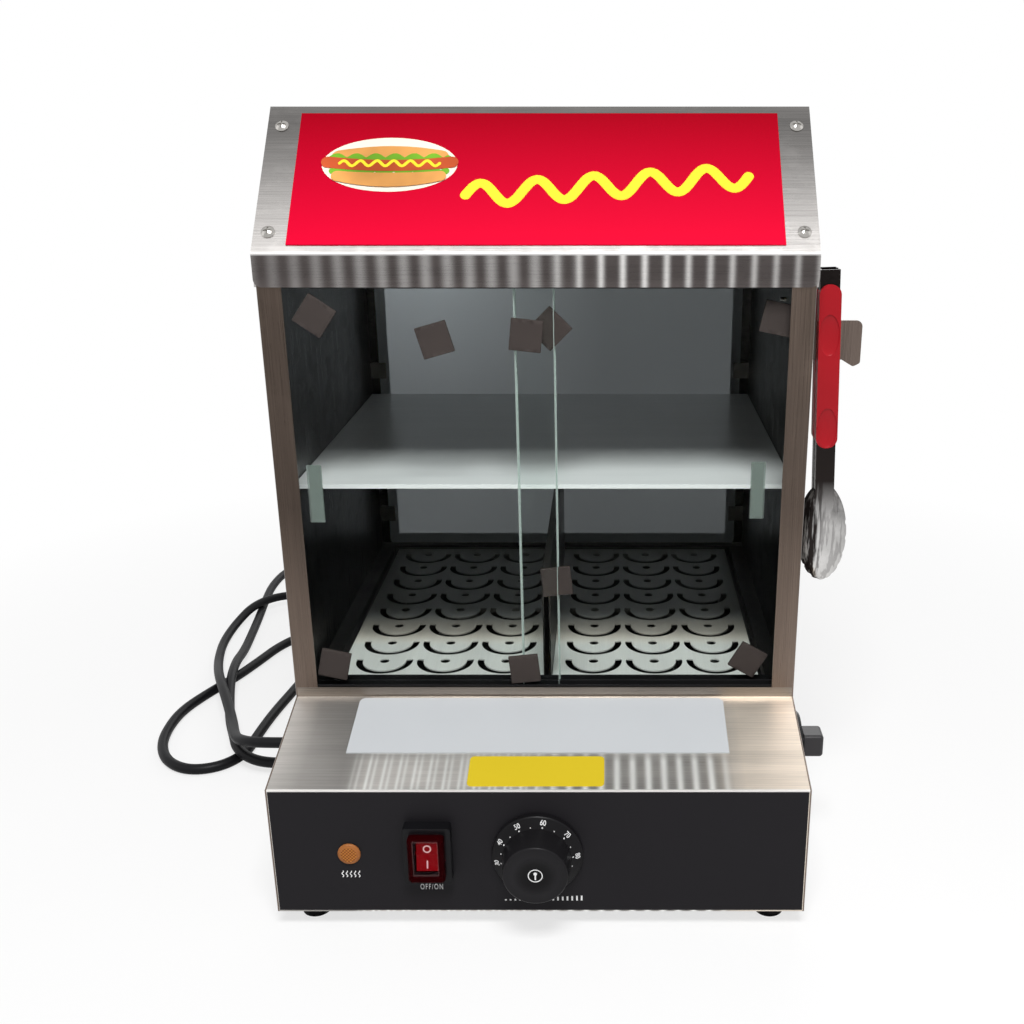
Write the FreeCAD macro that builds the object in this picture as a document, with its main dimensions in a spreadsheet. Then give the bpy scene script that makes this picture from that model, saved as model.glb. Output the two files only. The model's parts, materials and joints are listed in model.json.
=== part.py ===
import FreeCAD, Part
import math
import os
import Sketcher
from FreeCAD import Placement, Rotation, Vector

# A countertop hot dog steamer: a steel case with a water tank and perforated trays
# in its foot, a glazed cabinet with a shelf above it and a sloped hood on top.
# X runs to the right, Y to the back and Z up. Lengths are in millimetres.

doc = FreeCAD.newDocument("HotDogSteamer")

# Driving dimensions
SIZES = {
    # case
    "case_w": 340, "case_d": 396, "sheet_t": 1, "fold_d": 12, "panel_h": 90,
    "ledge_run": 84, "ledge_rise": 20.5, "rail_h": 7, "rail_d": 24,
    "post_w": 15, "post_h": 270.5, "tuck_h": 18, "touch_gap": 0.3, "fit_gap": 0.08,
    # feet
    "foot_h": 12.5, "foot_top_r": 10.5, "foot_end_r": 9.5, "foot_side": 20, "foot_setback": 20,
    "foot_dish_r": 4.5, "foot_dish_h": 4, "stud_r": 2, "stud_h": 8,
    # bottom vents and side screws
    "vent_w": 4, "vent_l": 46, "vent_pitch": 12, "vent_rows": 6, "vent_side": 62,
    "screw_head_r": 3.5, "screw_head_h": 1.6, "screw_shank_r": 1.6, "screw_shank_l": 5,
    "recess_w": 0.9, "recess_share": 0.62, "dome_share": 0.75, "side_screw_rise": 24, "side_screw_inset": 22,
    # back window
    "window_side": 16, "window_rise": 12, "window_high": 8.5, "pane_lap": 8, "back_glass_t": 3,
    "clip_w": 14, "clip_l": 12, "clip_t": 1.2,
    # deck, tank and trays
    "deck_drop": 6, "deck_fold": 3, "tank_flange": 4.5, "tank_side": 12.5, "tank_back": 8.5,
    "tank_fore": 14, "tank_step": 10, "tank_step_h": 7, "tank_h": 49, "tank_slack": 0.5,
    "tray_side": 4.5, "tray_fore": 5, "tray_h": 6.5, "tray_mid": 3, "tray_back": 1,
    "hole_r": 3.5, "ring_out_r": 21, "ring_in_r": 16, "ring_pitch_x": 45, "ring_pitch_y": 31.3,
    "ring_edge": 2, "ring_back": 14.3, "divider_h": 90, "divider_inset": 1,
    # heater and temperature sensor
    "heater_r": 4, "heater_rise": 11, "heater_side": 46, "heater_bend_r": 28, "heater_back": 32,
    "heater_tail": 18, "nut_r": 9, "nut_h": 6, "saddle_w": 8, "saddle_l": 16,
    "probe_r": 3, "probe_l": 90, "probe_in": 12, "capillary_r": 1, "probe_rise": 15,
    # control panel
    "overlay_side": 1.5, "overlay_edge": 1.25, "overlay_t": 0.4,
    "knob_x": -1.3, "knob_rise": 45.1, "skirt_r": 28.8, "skirt_h": 3.5, "skirt_bevel_h": 4.1,
    "skirt_bevel": 0.6, "grip_r": 21.8, "grip_end_r": 20.2, "knob_h": 24.8, "knob_gap": 0.8,
    "knob_edge": 1.6, "knob_dish_r": 12, "knob_dish_h": 1, "grip_base_h": 7, "shaft_r": 3,
    "shaft_in": 16, "control_w": 38, "control_d": 24,
    "switch_x": -70, "switch_rise": 47.5, "bezel_w": 30, "bezel_h": 40.4, "bezel_d": 8, "bezel_corner": 2,
    "rocker_w": 13.6, "rocker_h": 21, "rocker_front": 2.7, "rocker_peak": 0.7, "rocker_side": 2,
    "rocker_rear": 2.7, "rocker_play": 0.7, "rocker_in": 4, "rocker_tilt": 8,
    "rocker_pin_r": 1.2, "rocker_pin_l": 1, "switch_back_w": 26,
    "switch_back_h": 30, "switch_back_d": 22, "boot_w": 23, "boot_h": 32.3, "boot_d": 6.2, "boot_t": 0.8,
    "boot_corner": 2.6, "lamp_x": -120.6, "lamp_rise": 44.3, "lamp_r": 7.25, "lamp_h": 1.5,
    "lamp_bevel": 0.6, "lens_r": 6.3, "lens_h": 1.2, "lamp_body_r": 4.5, "lamp_body_d": 20,
    "block_w": 48, "block_d": 20, "block_h": 18, "block_side": 50, "block_back": 30,
    # board and label on the ledge
    "board_w": 247, "board_d": 52, "board_t": 0.8, "board_front": 32, "board_shift": 2, "board_corner": 4,
    "label_w": 86, "label_d": 26, "label_t": 0.25, "label_front": 3.3, "label_shift": 2, "label_corner": 3,
    # shelf
    "shelf_rise": 133.8, "shelf_front": 36.4, "shelf_lip": 3, "shelf_side": 0.6, "rail_leg": 12,
    "rail_t": 1.2, "ceiling_fold": 9,
    # sliding doors
    "track_wall": 1.5, "track_mid": 2, "track_floor": 2, "track_h": 7, "top_track_h": 9.5,
    "pane_t": 4, "pane_slot": 5.5, "pane_overlap": 24.5, "pane_side": 1.5, "pane_side_right": 6,
    "pull_w": 9.5, "pull_h": 38, "pull_t": 2.4, "pull_rise": 119, "pull_inset": 17.5,
    "pad_w": 20, "pad_t": 2.4,
    # hood
    "hood_t": 1.2, "lip_h": 20, "slope_run": 72.5, "slope_rise": 84, "lip_corner": 5,
    "sign_side": 19.5, "sign_t": 0.8, "sign_inset": 6,
    "sign_screw_r": 4.25, "sign_screw_h": 2.2, "sign_screw_side": 9, "sign_screw_end": 15.5,
    # hook and tongs
    "hook_y": 24, "hook_out": 34.5, "hook_h": 25, "hook_low": 24, "hook_t": 1.5, "hook_tip": 4.5,
    "hook_tip_r": 2, "hook_leg": 24, "hook_corner": 4, "finger_w": 5,
    "tong_side": 11.2, "tong_gap": 0.45, "arm_w": 12.4, "arm_end_w": 4, "arm_taper": 22, "arm_depth": 6,
    "arm_t": 1, "grip_w": 13.8, "grip_t": 2.2, "grip_l": 105, "grip_top": 9, "arm_l": 175,
    "pivot_drop": 7, "grip_round_share": 0.95, "pin_r": 1.5, "lug_r": 4, "lug_t": 0.9, "lug_gap": 0.2,
    "spring_r": 3.6, "spring_half_l": 2.6, "pivot_low": 1.5, "head_lean": 5.8, "head_half_w": 16.3,
    "head_half_l": 34, "head_depth": 6.1, "scallop_r": 3.2, "scallop_out_share": 0.72, "thumb_w": 6.4,
    "thumb_l": 13, "thumb_d": 1.6, "thumb_high": 40.5, "thumb_low": 100.5,
    # drain
    "drain_y": 93, "drain_rise": 70.7, "drain_flange_r": 23, "drain_flange_h": 7, "drain_gap": 3,
    "drain_bevel": 3,
    "drain_knob_l": 13.5, "drain_knob_w": 17, "drain_knob_h": 16.5, "drain_knob_edge": 2.5,
    "stem_r": 4.8, "valve_w": 30, "valve_d": 28, "valve_low": 8, "valve_over": 14,
    "pipe_r": 6, "pipe_t": 1.2, "pipe_rise": 54, "pipe_floor": 4.5, "valve_side": 3,
    # cord
    "cord_r": 4.25, "gland_y": 168, "gland_rise": 25.5, "gland_r": 9, "gland_h": 6,
    "gland_thread_r": 6.5, "gland_in": 9, "relief_l": 30, "relief_r": 6.4, "relief_end_r": 5,
    "plug_l": 40, "plug_w": 26, "plug_h": 22, "plug_corner": 3.2, "plug_neck_l": 12,
    "plug_neck_r": 6.5, "plug_neck_end_r": 5.5,
    "blade_l": 16, "blade_w": 1.6, "blade_h": 6.4, "blade_gap": 6.35, "earth_r": 2.4,
    # overrun of every cutting tool
    "overrun": 1,
}

sheet = doc.addObject("Spreadsheet::Sheet", "Sizes")
for row, (alias, value) in enumerate(SIZES.items(), 1):
    sheet.set(f"A{row}", alias)
    sheet.set(f"B{row}", str(value))
    sheet.setAlias(f"B{row}", alias)
doc.recompute()


class Size:
    """A number together with the expression on the sheet that gives it."""

    def __init__(self, value, text):
        self.value = float(value)
        self.text = text

    def __float__(self):
        return self.value

    def __add__(self, other):
        other = sized(other)
        return Size(self.value + other.value, f"({self.text} + {other.text})")

    def __sub__(self, other):
        other = sized(other)
        return Size(self.value - other.value, f"({self.text} - {other.text})")

    def __mul__(self, other):
        other = sized(other)
        return Size(self.value * other.value, f"{self.text} * {other.text}")

    def __truediv__(self, other):
        other = sized(other)
        return Size(self.value / other.value, f"{self.text} / {other.text}")

    def __neg__(self):
        return Size(-self.value, f"(-{self.text})")

    def __radd__(self, other):
        return sized(other) + self

    def __rsub__(self, other):
        return sized(other) - self

    def __rmul__(self, other):
        return sized(other) * self


def sized(item):
    """Take a plain number as a Size."""
    return item if isinstance(item, Size) else Size(item, repr(item))


def product(*items):
    """Multiply sums safely, each in its own brackets."""
    result = Size(1, "1")
    for item in items:
        item = sized(item)
        result = Size(result.value * item.value, f"{result.text} * ({item.text})")
    return result


def ratio(top, bottom):
    """Divide one size by another, each in its own brackets."""
    top, bottom = sized(top), sized(bottom)
    return Size(top.value / bottom.value, f"(({top.text}) / ({bottom.text}))")


def root(item):
    """Square root of a size."""
    return Size(math.sqrt(item.value), f"sqrt({item.text})")


def incline(rise, run):
    """Angle in degrees of a slope, from its rise and its run."""
    return Size(math.degrees(math.atan2(rise.value, run.value)), f"atan2({rise.text}; {run.text})")


class Sheet:
    """Reads every driving dimension from the spreadsheet by its alias."""

    def __getattr__(self, alias):
        return Size(sheet.get(alias), "Sizes." + alias)


S = Sheet()
NODES = []
AXES = {"X": Rotation(Vector(0, 1, 0), 90), "Y": Rotation(Vector(1, 0, 0), -90), "Z": Rotation()}
DIRECTIONS = {"X": Vector(1, 0, 0), "Y": Vector(0, 1, 0), "Z": Vector(0, 0, 1)}
ZERO = Size(0, "0")

# Main planes of the case, measured from the middle of its foot and from the floor
half = S.case_w / 2
inner = half - S.sheet_t
front = -S.case_d / 2
back = S.case_d / 2
back_in = back - S.sheet_t
face_y = front + S.ledge_run
base_z = S.foot_h
panel_top = base_z + S.panel_h
sill_z = panel_top + S.ledge_rise
rail_top = sill_z + S.rail_h
case_top = rail_top + S.post_h
skin_top = case_top + S.tuck_h
overlay_y = front - S.overlay_t
# The document's origin is under the middle of everything that the steamer is, cord left out
mid_x = (S.hood_t - S.hook_out) / 2
mid_y = (S.knob_h + S.overlay_t - S.hood_t) / 2


def bind(obj, **sizes):
    """Tie properties of an object to sizes."""
    for prop, size in sizes.items():
        obj.setExpression(prop, sized(size).text)


def place(obj, x, y, z, turn=None):
    """Put an object at a point, turned by a fixed rotation or by (axis, angle)."""
    if isinstance(turn, tuple):
        obj.Placement = Placement(Vector(), Rotation(DIRECTIONS[turn[0]], 1))
        obj.setExpression("Placement.Rotation.Angle", sized(turn[1]).text)
    elif turn is not None:
        obj.Placement = Placement(Vector(), turn)
    obj.setExpression("Placement.Base.x", (mid_x + x).text)
    obj.setExpression("Placement.Base.y", (mid_y + y).text)
    obj.setExpression("Placement.Base.z", sized(z).text)
    return obj


def box(name, low, high, turn=None):
    """A block between two opposite corners."""
    obj = doc.addObject("Part::Box", name)
    bind(obj, Length=high[0] - low[0], Width=high[1] - low[1], Height=high[2] - low[2])
    return place(obj, *low, turn)


def rod(name, axis, start, radius, length, angle=None):
    """A cylinder along an axis, or part of one."""
    obj = doc.addObject("Part::Cylinder", name)
    bind(obj, Radius=radius, Height=length)
    if angle is not None:
        obj.Angle = angle
    turn = AXES[axis] if isinstance(axis, str) else axis
    return place(obj, *start, turn)


def dish(name, face, rim_r, depth, turn):
    """A ball that cuts a shallow round hollow into a face, from the face's middle."""
    radius = ratio(product(rim_r, rim_r) + product(depth, depth), depth * 2)
    ball = doc.addObject("Part::Sphere", name)
    bind(ball, Radius=radius)
    x, y, z = face
    return place(ball, x, y - radius + depth, z, turn)


def fuse(name, *parts):
    """Join overlapping shapes."""
    obj = doc.addObject("Part::MultiFuse", name)
    obj.Shapes = list(parts)
    obj.Refine = True
    return obj


def cut(name, base, *tools):
    """Cut tools out of a base."""
    obj = doc.addObject("Part::Cut", name)
    obj.Base = base
    obj.Tool = tools[0] if len(tools) == 1 else fuse(name + "_tools", *tools)
    return obj


def common(name, *parts):
    """Keep what the shapes share."""
    obj = doc.addObject("Part::MultiCommon", name)
    obj.Shapes = list(parts)
    return obj


def group(name, parts):
    """Hold equal pieces that don't touch in one sub-part."""
    obj = doc.addObject("Part::Compound", name)
    obj.Links = list(parts)
    return obj


def keep(node, obj):
    """Name an object as a sub-part of the steamer."""
    obj.Label = node
    NODES.append(obj)
    return obj


def draw(body, plane, points):
    """Draw a closed outline of straight edges, each corner tied to its two sizes."""
    sketch = body.newObject("Sketcher::SketchObject", body.Name + "_outline")
    origin = [item for item in body.Origin.OriginFeatures if item.Role == plane + "_Plane"][0]
    sketch.AttachmentSupport = [(origin, "")]
    sketch.MapMode = "FlatFace"
    points = [(sized(u), sized(v)) for u, v in points]
    corners = [Vector(u.value, v.value, 0) for u, v in points]
    count = len(points)
    for index in range(count):
        sketch.addGeometry(Part.LineSegment(corners[index], corners[(index + 1) % count]))
    for index in range(count):
        sketch.addConstraint(Sketcher.Constraint("Coincident", index, 2, (index + 1) % count, 1))
    for index, pair in enumerate(points):
        for kind, size in zip(("DistanceX", "DistanceY"), pair):
            number = sketch.addConstraint(Sketcher.Constraint(kind, -1, 1, index, 1, size.value))
            sketch.setExpression(f"Constraints[{number}]", size.text)
    return sketch


def plate(name, plane, points, length, at, turn=None):
    """Pad an outline: YZ goes to +X, XZ to +Y and XY to +Z."""
    body = doc.addObject("PartDesign::Body", name)
    pad = body.newObject("PartDesign::Pad", name + "_pad")
    pad.Profile = draw(body, plane, points)
    pad.setExpression("Length", sized(length).text)
    pad.Reversed = plane == "XZ"
    return place(body, *at, turn)


def rectangle(u0, v0, u1, v1):
    """Corners of an upright rectangle."""
    return [(u0, v0), (u1, v0), (u1, v1), (u0, v1)]


def round_edges(body, radius, pick):
    """Round the picked edges of a body."""
    doc.recompute()
    base = body.Tip
    names = [f"Edge{number}" for number, edge in enumerate(base.Shape.Edges, 1) if pick(edge)]
    feature = body.newObject("PartDesign::Fillet", body.Name + "_fillet")
    feature.Base = (base, names)
    feature.setExpression("Radius", sized(radius).text)
    return body


def along(axis):
    """Pick straight edges along an axis."""
    def pick(edge):
        first, last = edge.Vertexes[0].Point, edge.Vertexes[-1].Point
        run = last - first
        return run.Length > 0 and abs(abs(run.dot(DIRECTIONS[axis])) / run.Length - 1) < 1e-6
    return pick


def turned(name, points, at, turn=None):
    """Revolve an outline of radii and heights about its own upright axis."""
    body = doc.addObject("PartDesign::Body", name)
    sketch = draw(body, "XZ", points)
    wheel = body.newObject("PartDesign::Revolution", name + "_turn")
    wheel.Profile = sketch
    wheel.ReferenceAxis = (sketch, ["V_Axis"])
    wheel.Angle = 360
    return place(body, *at, turn)


def offset_path(path, thickness):
    """Corners of a path moved to its left by the thickness, mitred at each fold."""
    normals = []
    for (u0, v0), (u1, v1) in zip(path, path[1:]):
        du, dv = sized(u1 - u0), sized(v1 - v0)
        if du.value == 0 or dv.value == 0:
            length = abs(du.value + dv.value)
            normals.append((sized(round(-dv.value / length)), sized(round(du.value / length))))
        else:
            length = root(product(du, du) + product(dv, dv))
            normals.append((ratio(-dv, length), ratio(du, length)))
    corners = []
    for index, (u, v) in enumerate(path):
        before = normals[max(index - 1, 0)]
        after = normals[min(index, len(normals) - 1)]
        share = 1 + product(before[0], after[0]) + product(before[1], after[1])
        corners.append((u + product(thickness, ratio(before[0] + after[0], share)),
                        v + product(thickness, ratio(before[1] + after[1], share))))
    return corners


def bent(name, plane, path, thickness, length, at):
    """Sheet metal folded along a path, its thickness on the left of the path."""
    path = [(sized(u), sized(v)) for u, v in path]
    return plate(name, plane, path + offset_path(path, thickness)[::-1], length, at)


def loose(kind, name, corner, **sizes):
    """A primitive in the frame of the piece that it makes up."""
    obj = doc.addObject(kind, name)
    bind(obj, **sizes)
    for axis, size in zip("xyz", corner):
        obj.setExpression("Placement.Base." + axis, sized(size).text)
    return obj


def screw(name, turn, at, head_r, head_h, shank_r, shank_l):
    """A pan head screw with a cross recess, its head standing at a point."""
    rise = head_h * S.dome_share
    dome_r = ratio(product(head_r, head_r) + product(rise, rise), rise * 2)
    drum = loose("Part::Cylinder", name + "_drum", (ZERO, ZERO, ZERO), Radius=head_r, Height=head_h)
    dome = loose("Part::Sphere", name + "_dome", (ZERO, ZERO, head_h - dome_r), Radius=dome_r)
    head = common(name + "_head", drum, dome)
    shank = loose("Part::Cylinder", name + "_shank", (ZERO, ZERO, -shank_l), Radius=shank_r, Height=shank_l)
    reach, width = S.recess_share * head_r * 2, S.recess_w
    bars = [loose("Part::Box", name + "_bar", (-long / 2, -wide / 2, head_h / 2),
                  Length=long, Width=wide, Height=head_h)
            for long, wide in ((reach, width), (width, reach))]
    solid = cut(name + "_solid", fuse(name + "_blank", head, shank), *bars)
    holder = doc.addObject("Part::Compound", name)
    holder.Links = [solid]
    return place(holder, *at, turn)


# Feet and bottom
foot_x = half - S.foot_side
foot_y = back - S.foot_setback
foot_spots = [(x, y) for x in (-foot_x, foot_x) for y in (-foot_y, foot_y)]
pan_z = base_z + S.sheet_t
pan_top = pan_z + S.sheet_t


def feet():
    """Four rubber feet, each with a screw stud up through the bottom pan."""
    profile = [(S.foot_dish_r, ZERO), (S.foot_end_r, ZERO), (S.foot_top_r, base_z),
               (S.stud_r, base_z), (S.stud_r, base_z + S.stud_h), (ZERO, base_z + S.stud_h),
               (ZERO, S.foot_dish_h), (S.foot_dish_r, S.foot_dish_h)]
    return [turned(f"foot_{number}", profile, (x, y, ZERO)) for number, (x, y) in enumerate(foot_spots)]


def stud_holes(name, low, high):
    """Holes for the foot studs through whatever lies between two heights."""
    return [rod(name, "Z", (x, y, low), S.stud_r + S.fit_gap, high - low) for x, y in foot_spots]


keep("feet", group("feet", feet()))


def base_pan():
    """Bottom of the case, with vent slots under the tank and a hole for the drain pipe."""
    pan = box("pan_sheet", (-inner, front + S.sheet_t, pan_z), (inner, back_in, pan_top))
    low, high = pan_z - S.overrun, pan_top + S.overrun
    tools = stud_holes("pan_stud_hole", low, high)
    for side in (-1, 1):
        for row in range(int(S.vent_rows.value)):
            x = S.vent_side * side
            y = S.vent_pitch * (row - (S.vent_rows.value - 1) / 2)
            tools.append(box("vent", (x - S.vent_l / 2, y - S.vent_w / 2, low),
                             (x + S.vent_l / 2, y + S.vent_w / 2, high)))
    tools.append(rod("pipe_hole", "Z", (valve_x, drain_y, low), S.pipe_r + S.touch_gap, high - low))
    return cut("base_pan", pan, *tools)


# Drain valve places
drain_y = front + S.drain_y
drain_z = base_z + S.drain_rise
pipe_z = base_z + S.pipe_rise
valve_x = inner - S.valve_side - S.valve_w / 2
keep("base_pan", base_pan())


def front_panel():
    """Control panel, sloped ledge and their folds, in one bent sheet with the control holes."""
    path = [(face_y + S.fold_d, sill_z), (face_y, sill_z), (front, panel_top), (front, base_z),
            (front + S.fold_d, base_z)]
    panel = bent("panel_sheet", "YZ", path, S.sheet_t, inner * 2, (-inner, ZERO, ZERO))
    return cut("front_panel", panel, *control_holes(front - S.overrun, S.sheet_t + S.overrun * 2))


knob_z = base_z + S.knob_rise
lamp_z = base_z + S.lamp_rise
switch_z = base_z + S.switch_rise


def control_holes(start, depth):
    """Tools for the shaft, the switch and the lamp through the panel and its overlay."""
    side, tall = S.switch_back_w / 2, S.switch_back_h / 2
    return [rod("shaft_hole", "Y", (S.knob_x, start, knob_z), S.shaft_r + S.touch_gap, depth),
            rod("lamp_hole", "Y", (S.lamp_x, start, lamp_z), S.lamp_body_r, depth),
            box("switch_hole", (S.switch_x - side, start, switch_z - tall),
                (S.switch_x + side, start + depth, switch_z + tall))]


keep("front_panel", front_panel())
overlay_x = half - S.overlay_side
overlay_blank = box("overlay_sheet", (-overlay_x, overlay_y, base_z + S.overlay_edge),
                    (overlay_x, front, panel_top - S.overlay_edge))
keep("control_overlay", cut("control_overlay", overlay_blank,
                            *control_holes(overlay_y - S.overrun, S.overlay_t + S.overrun * 2)))

# Slope of the ledge
ledge_l = root(product(S.ledge_run, S.ledge_run) + product(S.ledge_rise, S.ledge_rise))
ledge_turn = ("X", incline(S.ledge_rise, S.ledge_run))


def on_ledge(distance):
    """Y and Z of a point on the ledge, a distance up from its front edge."""
    share = ratio(distance, ledge_l)
    return front + product(S.ledge_run, share), panel_top + product(S.ledge_rise, share)


def ledge_piece(name, width, depth, thickness, distance, middle):
    """A thin plate stuck on the ledge."""
    y, z = on_ledge(distance)
    low, high = middle - width / 2, middle + width / 2
    outline = rectangle(low, ZERO, high, depth)
    return plate(name, "XY", outline, thickness, (ZERO, y, z), ledge_turn)


def back_corner(edge):
    """Pick the upright edges at the two back corners of the board."""
    return along("Z")(edge) and edge.BoundBox.YMin > S.board_d.value / 2


board = ledge_piece("ledge_board", S.board_w, S.board_d, S.board_t, S.board_front, -S.board_shift)
keep("ledge_board", round_edges(board, S.board_corner, back_corner))
label = ledge_piece("ledge_label", S.label_w, S.label_d, S.label_t, S.label_front, -S.label_shift)
keep("ledge_label", round_edges(label, S.label_corner, along("Z")))

# Walls of the case
hook_y = face_y + S.hook_y
hook_z = case_top - S.hook_low
gland_y = front + S.gland_y
gland_z = base_z + S.gland_rise
screw_low = base_z + S.side_screw_rise
screw_high = case_top - S.side_screw_rise
screw_front = face_y + S.side_screw_inset
screw_back = back - S.side_screw_inset
shelf_top = rail_top + S.shelf_rise
side_screw_spots = [(screw_front, screw_low), (screw_back, screw_low), (ZERO, screw_low),
                    (screw_back, screw_high), (ZERO, screw_high)]
hook_screw_spots = [(hook_y + S.hook_leg / 2, hook_z - S.hook_h / 4),
                    (hook_y + S.hook_leg / 2, hook_z - S.hook_h * 3 / 4)]


def side_panel(name, side):
    """One side of the case from its foot to its top, with a front post and a bottom fold."""
    outline = [(front, base_z), (back, base_z), (back, skin_top), (face_y, skin_top),
               (face_y, sill_z), (front, panel_top)]
    low = -half if side < 0 else inner
    wall = plate(name + "_wall", "YZ", outline, S.sheet_t, (low, ZERO, ZERO))
    post_x = half - S.post_w
    edges = sorted((inner * side, post_x * side), key=float)
    post = box(name + "_post", (edges[0], face_y, rail_top), (edges[1], face_y + S.sheet_t, skin_top))
    fold_x = inner - S.fold_d
    edges = sorted((inner * side, fold_x * side), key=float)
    fold = box(name + "_fold", (edges[0], front + S.fold_d + S.sheet_t, base_z),
               (edges[1], back_in - S.fold_d - S.sheet_t, base_z + S.sheet_t))
    tools = []
    start = (half + S.overrun) * side if side < 0 else inner - S.overrun
    depth = S.sheet_t + S.overrun * 2
    for y, z in side_screw_spots + (hook_screw_spots if side > 0 else []):
        tools.append(rod(name + "_screw_hole", "X", (start, y, z), S.screw_shank_r + S.fit_gap, depth))
    if side > 0:
        tools.append(rod("stem_hole", "X", (start, drain_y, drain_z), S.stem_r + S.touch_gap, depth))
    else:
        tools.append(rod("gland_hole", "X", (start, gland_y, gland_z), S.gland_thread_r + S.fit_gap, depth))
    low, high = base_z - S.overrun, base_z + S.sheet_t + S.overrun
    tools += stud_holes(name + "_stud_hole", low, high)
    return cut(name, fuse(name + "_blank", wall, post, fold), *tools)


keep("side_panel_left", side_panel("side_panel_left", -1))
keep("side_panel_right", side_panel("side_panel_right", 1))

deck_low = sill_z - S.deck_drop - S.sheet_t
deck_top = deck_low + S.sheet_t
window_low = deck_top + S.window_rise
window_top = case_top - S.window_high
window_x = inner - S.window_side


def back_panel():
    """Back of the case, with the window opening and a bottom fold."""
    wall = box("back_wall", (-inner, back_in, base_z), (inner, back, skin_top))
    fold = box("back_fold", (-inner, back_in - S.fold_d, base_z), (inner, back_in, base_z + S.sheet_t))
    window = box("back_window", (-window_x, back_in - S.overrun, window_low),
                 (window_x, back + S.overrun, window_top))
    holes = stud_holes("back_stud_hole", base_z - S.overrun, base_z + S.sheet_t + S.overrun)
    return cut("back_panel", fuse("back_blank", wall, fold), window, *holes)


keep("back_panel", back_panel())


def rear_glass():
    """Fixed pane behind the window opening."""
    lap = S.pane_lap
    pane = plate("rear_glass", "XZ", rectangle(-window_x - lap, window_low - lap,
                                               window_x + lap, window_top + lap),
                 S.back_glass_t, (ZERO, back_in - S.back_glass_t, ZERO))
    return round_edges(pane, S.back_glass_t, along("Y"))


keep("rear_glass", rear_glass())


def rear_glass_clips():
    """Z clips that hold the rear pane to the back panel."""
    clips = []
    glass_y = back_in - S.back_glass_t
    edge_x = window_x + S.pane_lap
    for side in (-1, 1):
        for z in (window_low + S.clip_w, shelf_top + S.clip_w, window_top - S.clip_w):
            x0, x1 = sorted(((edge_x - S.clip_l / 2) * side, (inner - S.touch_gap) * side), key=float)
            over = box("clip_over", (x0, glass_y - S.clip_t, z), (x1, glass_y, z + S.clip_w))
            f0, f1 = sorted(((edge_x + S.touch_gap) * side, (inner - S.touch_gap) * side), key=float)
            foot = box("clip_foot", (f0, glass_y, z), (f1, back_in, z + S.clip_w))
            clips.append(fuse("clip", over, foot))
    return group("rear_glass_clips", clips)


keep("rear_glass_clips", rear_glass_clips())

# Front rail, deck, header and ceiling
rail_path = [(face_y, rail_top), (face_y, sill_z), (face_y + S.rail_d, sill_z)]
keep("front_rail", bent("front_rail", "YZ", rail_path, S.sheet_t, inner * 2, (-inner, ZERO, ZERO)))

deck_front = face_y + S.rail_d - S.sheet_t
tank_x = inner - S.tank_side
tank_back = back_in - S.tank_back
tank_front = deck_front + S.tank_fore


def deck():
    """Sheet around the tank, folded up to the front rail and to the back panel."""
    path = [(deck_front, sill_z), (deck_front, deck_low), (back_in, deck_low),
            (back_in, deck_top + S.deck_fold)]
    frame = bent("deck_sheet", "YZ", path, S.sheet_t, inner * 2, (-inner, ZERO, ZERO))
    slack = S.sheet_t + S.tank_slack
    opening = box("deck_opening", (-tank_x - slack, tank_front - slack, deck_low - S.overrun),
                  (tank_x + slack, tank_back + slack, deck_top + S.overrun))
    return cut("deck", frame, opening)


keep("deck", deck())

track_y = face_y + S.sheet_t + S.touch_gap
header_z = case_top + S.top_track_h - S.sheet_t
header_x = half - S.post_w
header_path = [(face_y, skin_top), (face_y, header_z), (face_y + S.rail_d, header_z)]
keep("header_rail", bent("header_rail", "YZ", header_path, S.sheet_t, header_x * 2,
                         (-header_x, ZERO, ZERO)))
ceiling_path = [(-inner, header_z + S.ceiling_fold), (-inner, header_z), (inner, header_z),
                (inner, header_z + S.ceiling_fold)]
ceiling_y = face_y + S.rail_d
keep("ceiling_panel", bent("ceiling_panel", "XZ", ceiling_path, S.sheet_t, back_in - ceiling_y,
                           (ZERO, ceiling_y, ZERO)))

# Water tank
tank_top = deck_top + S.sheet_t
step_z = deck_top - S.tank_step_h
tank_floor = step_z - S.tank_h
well_x = tank_x - S.tank_step
well_front = tank_front + S.tank_step
well_back = tank_back - S.tank_step
heater_z = tank_floor + S.heater_rise
probe_z = tank_floor + S.probe_rise
heater_x = well_x - S.heater_side
heater_back = well_back - S.heater_back
heater_front = well_front - S.sheet_t - S.heater_tail


def tank_box(name, x, y0, y1, z0, z1, wall):
    """A block of the tank, grown by a wall on its sides."""
    return box(name, (-x - wall, y0 - wall, z0), (x + wall, y1 + wall, z1))


def saddle(side):
    """A stand on the tank's floor that the heater's tube lies on."""
    x = (heater_x - S.heater_bend_r - S.saddle_l) * side
    low = (x - S.saddle_w / 2, heater_back - S.saddle_l / 2, tank_floor)
    high = (x + S.saddle_w / 2, heater_back + S.saddle_l / 2, heater_z - S.heater_r)
    return box("saddle", low, high)


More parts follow.
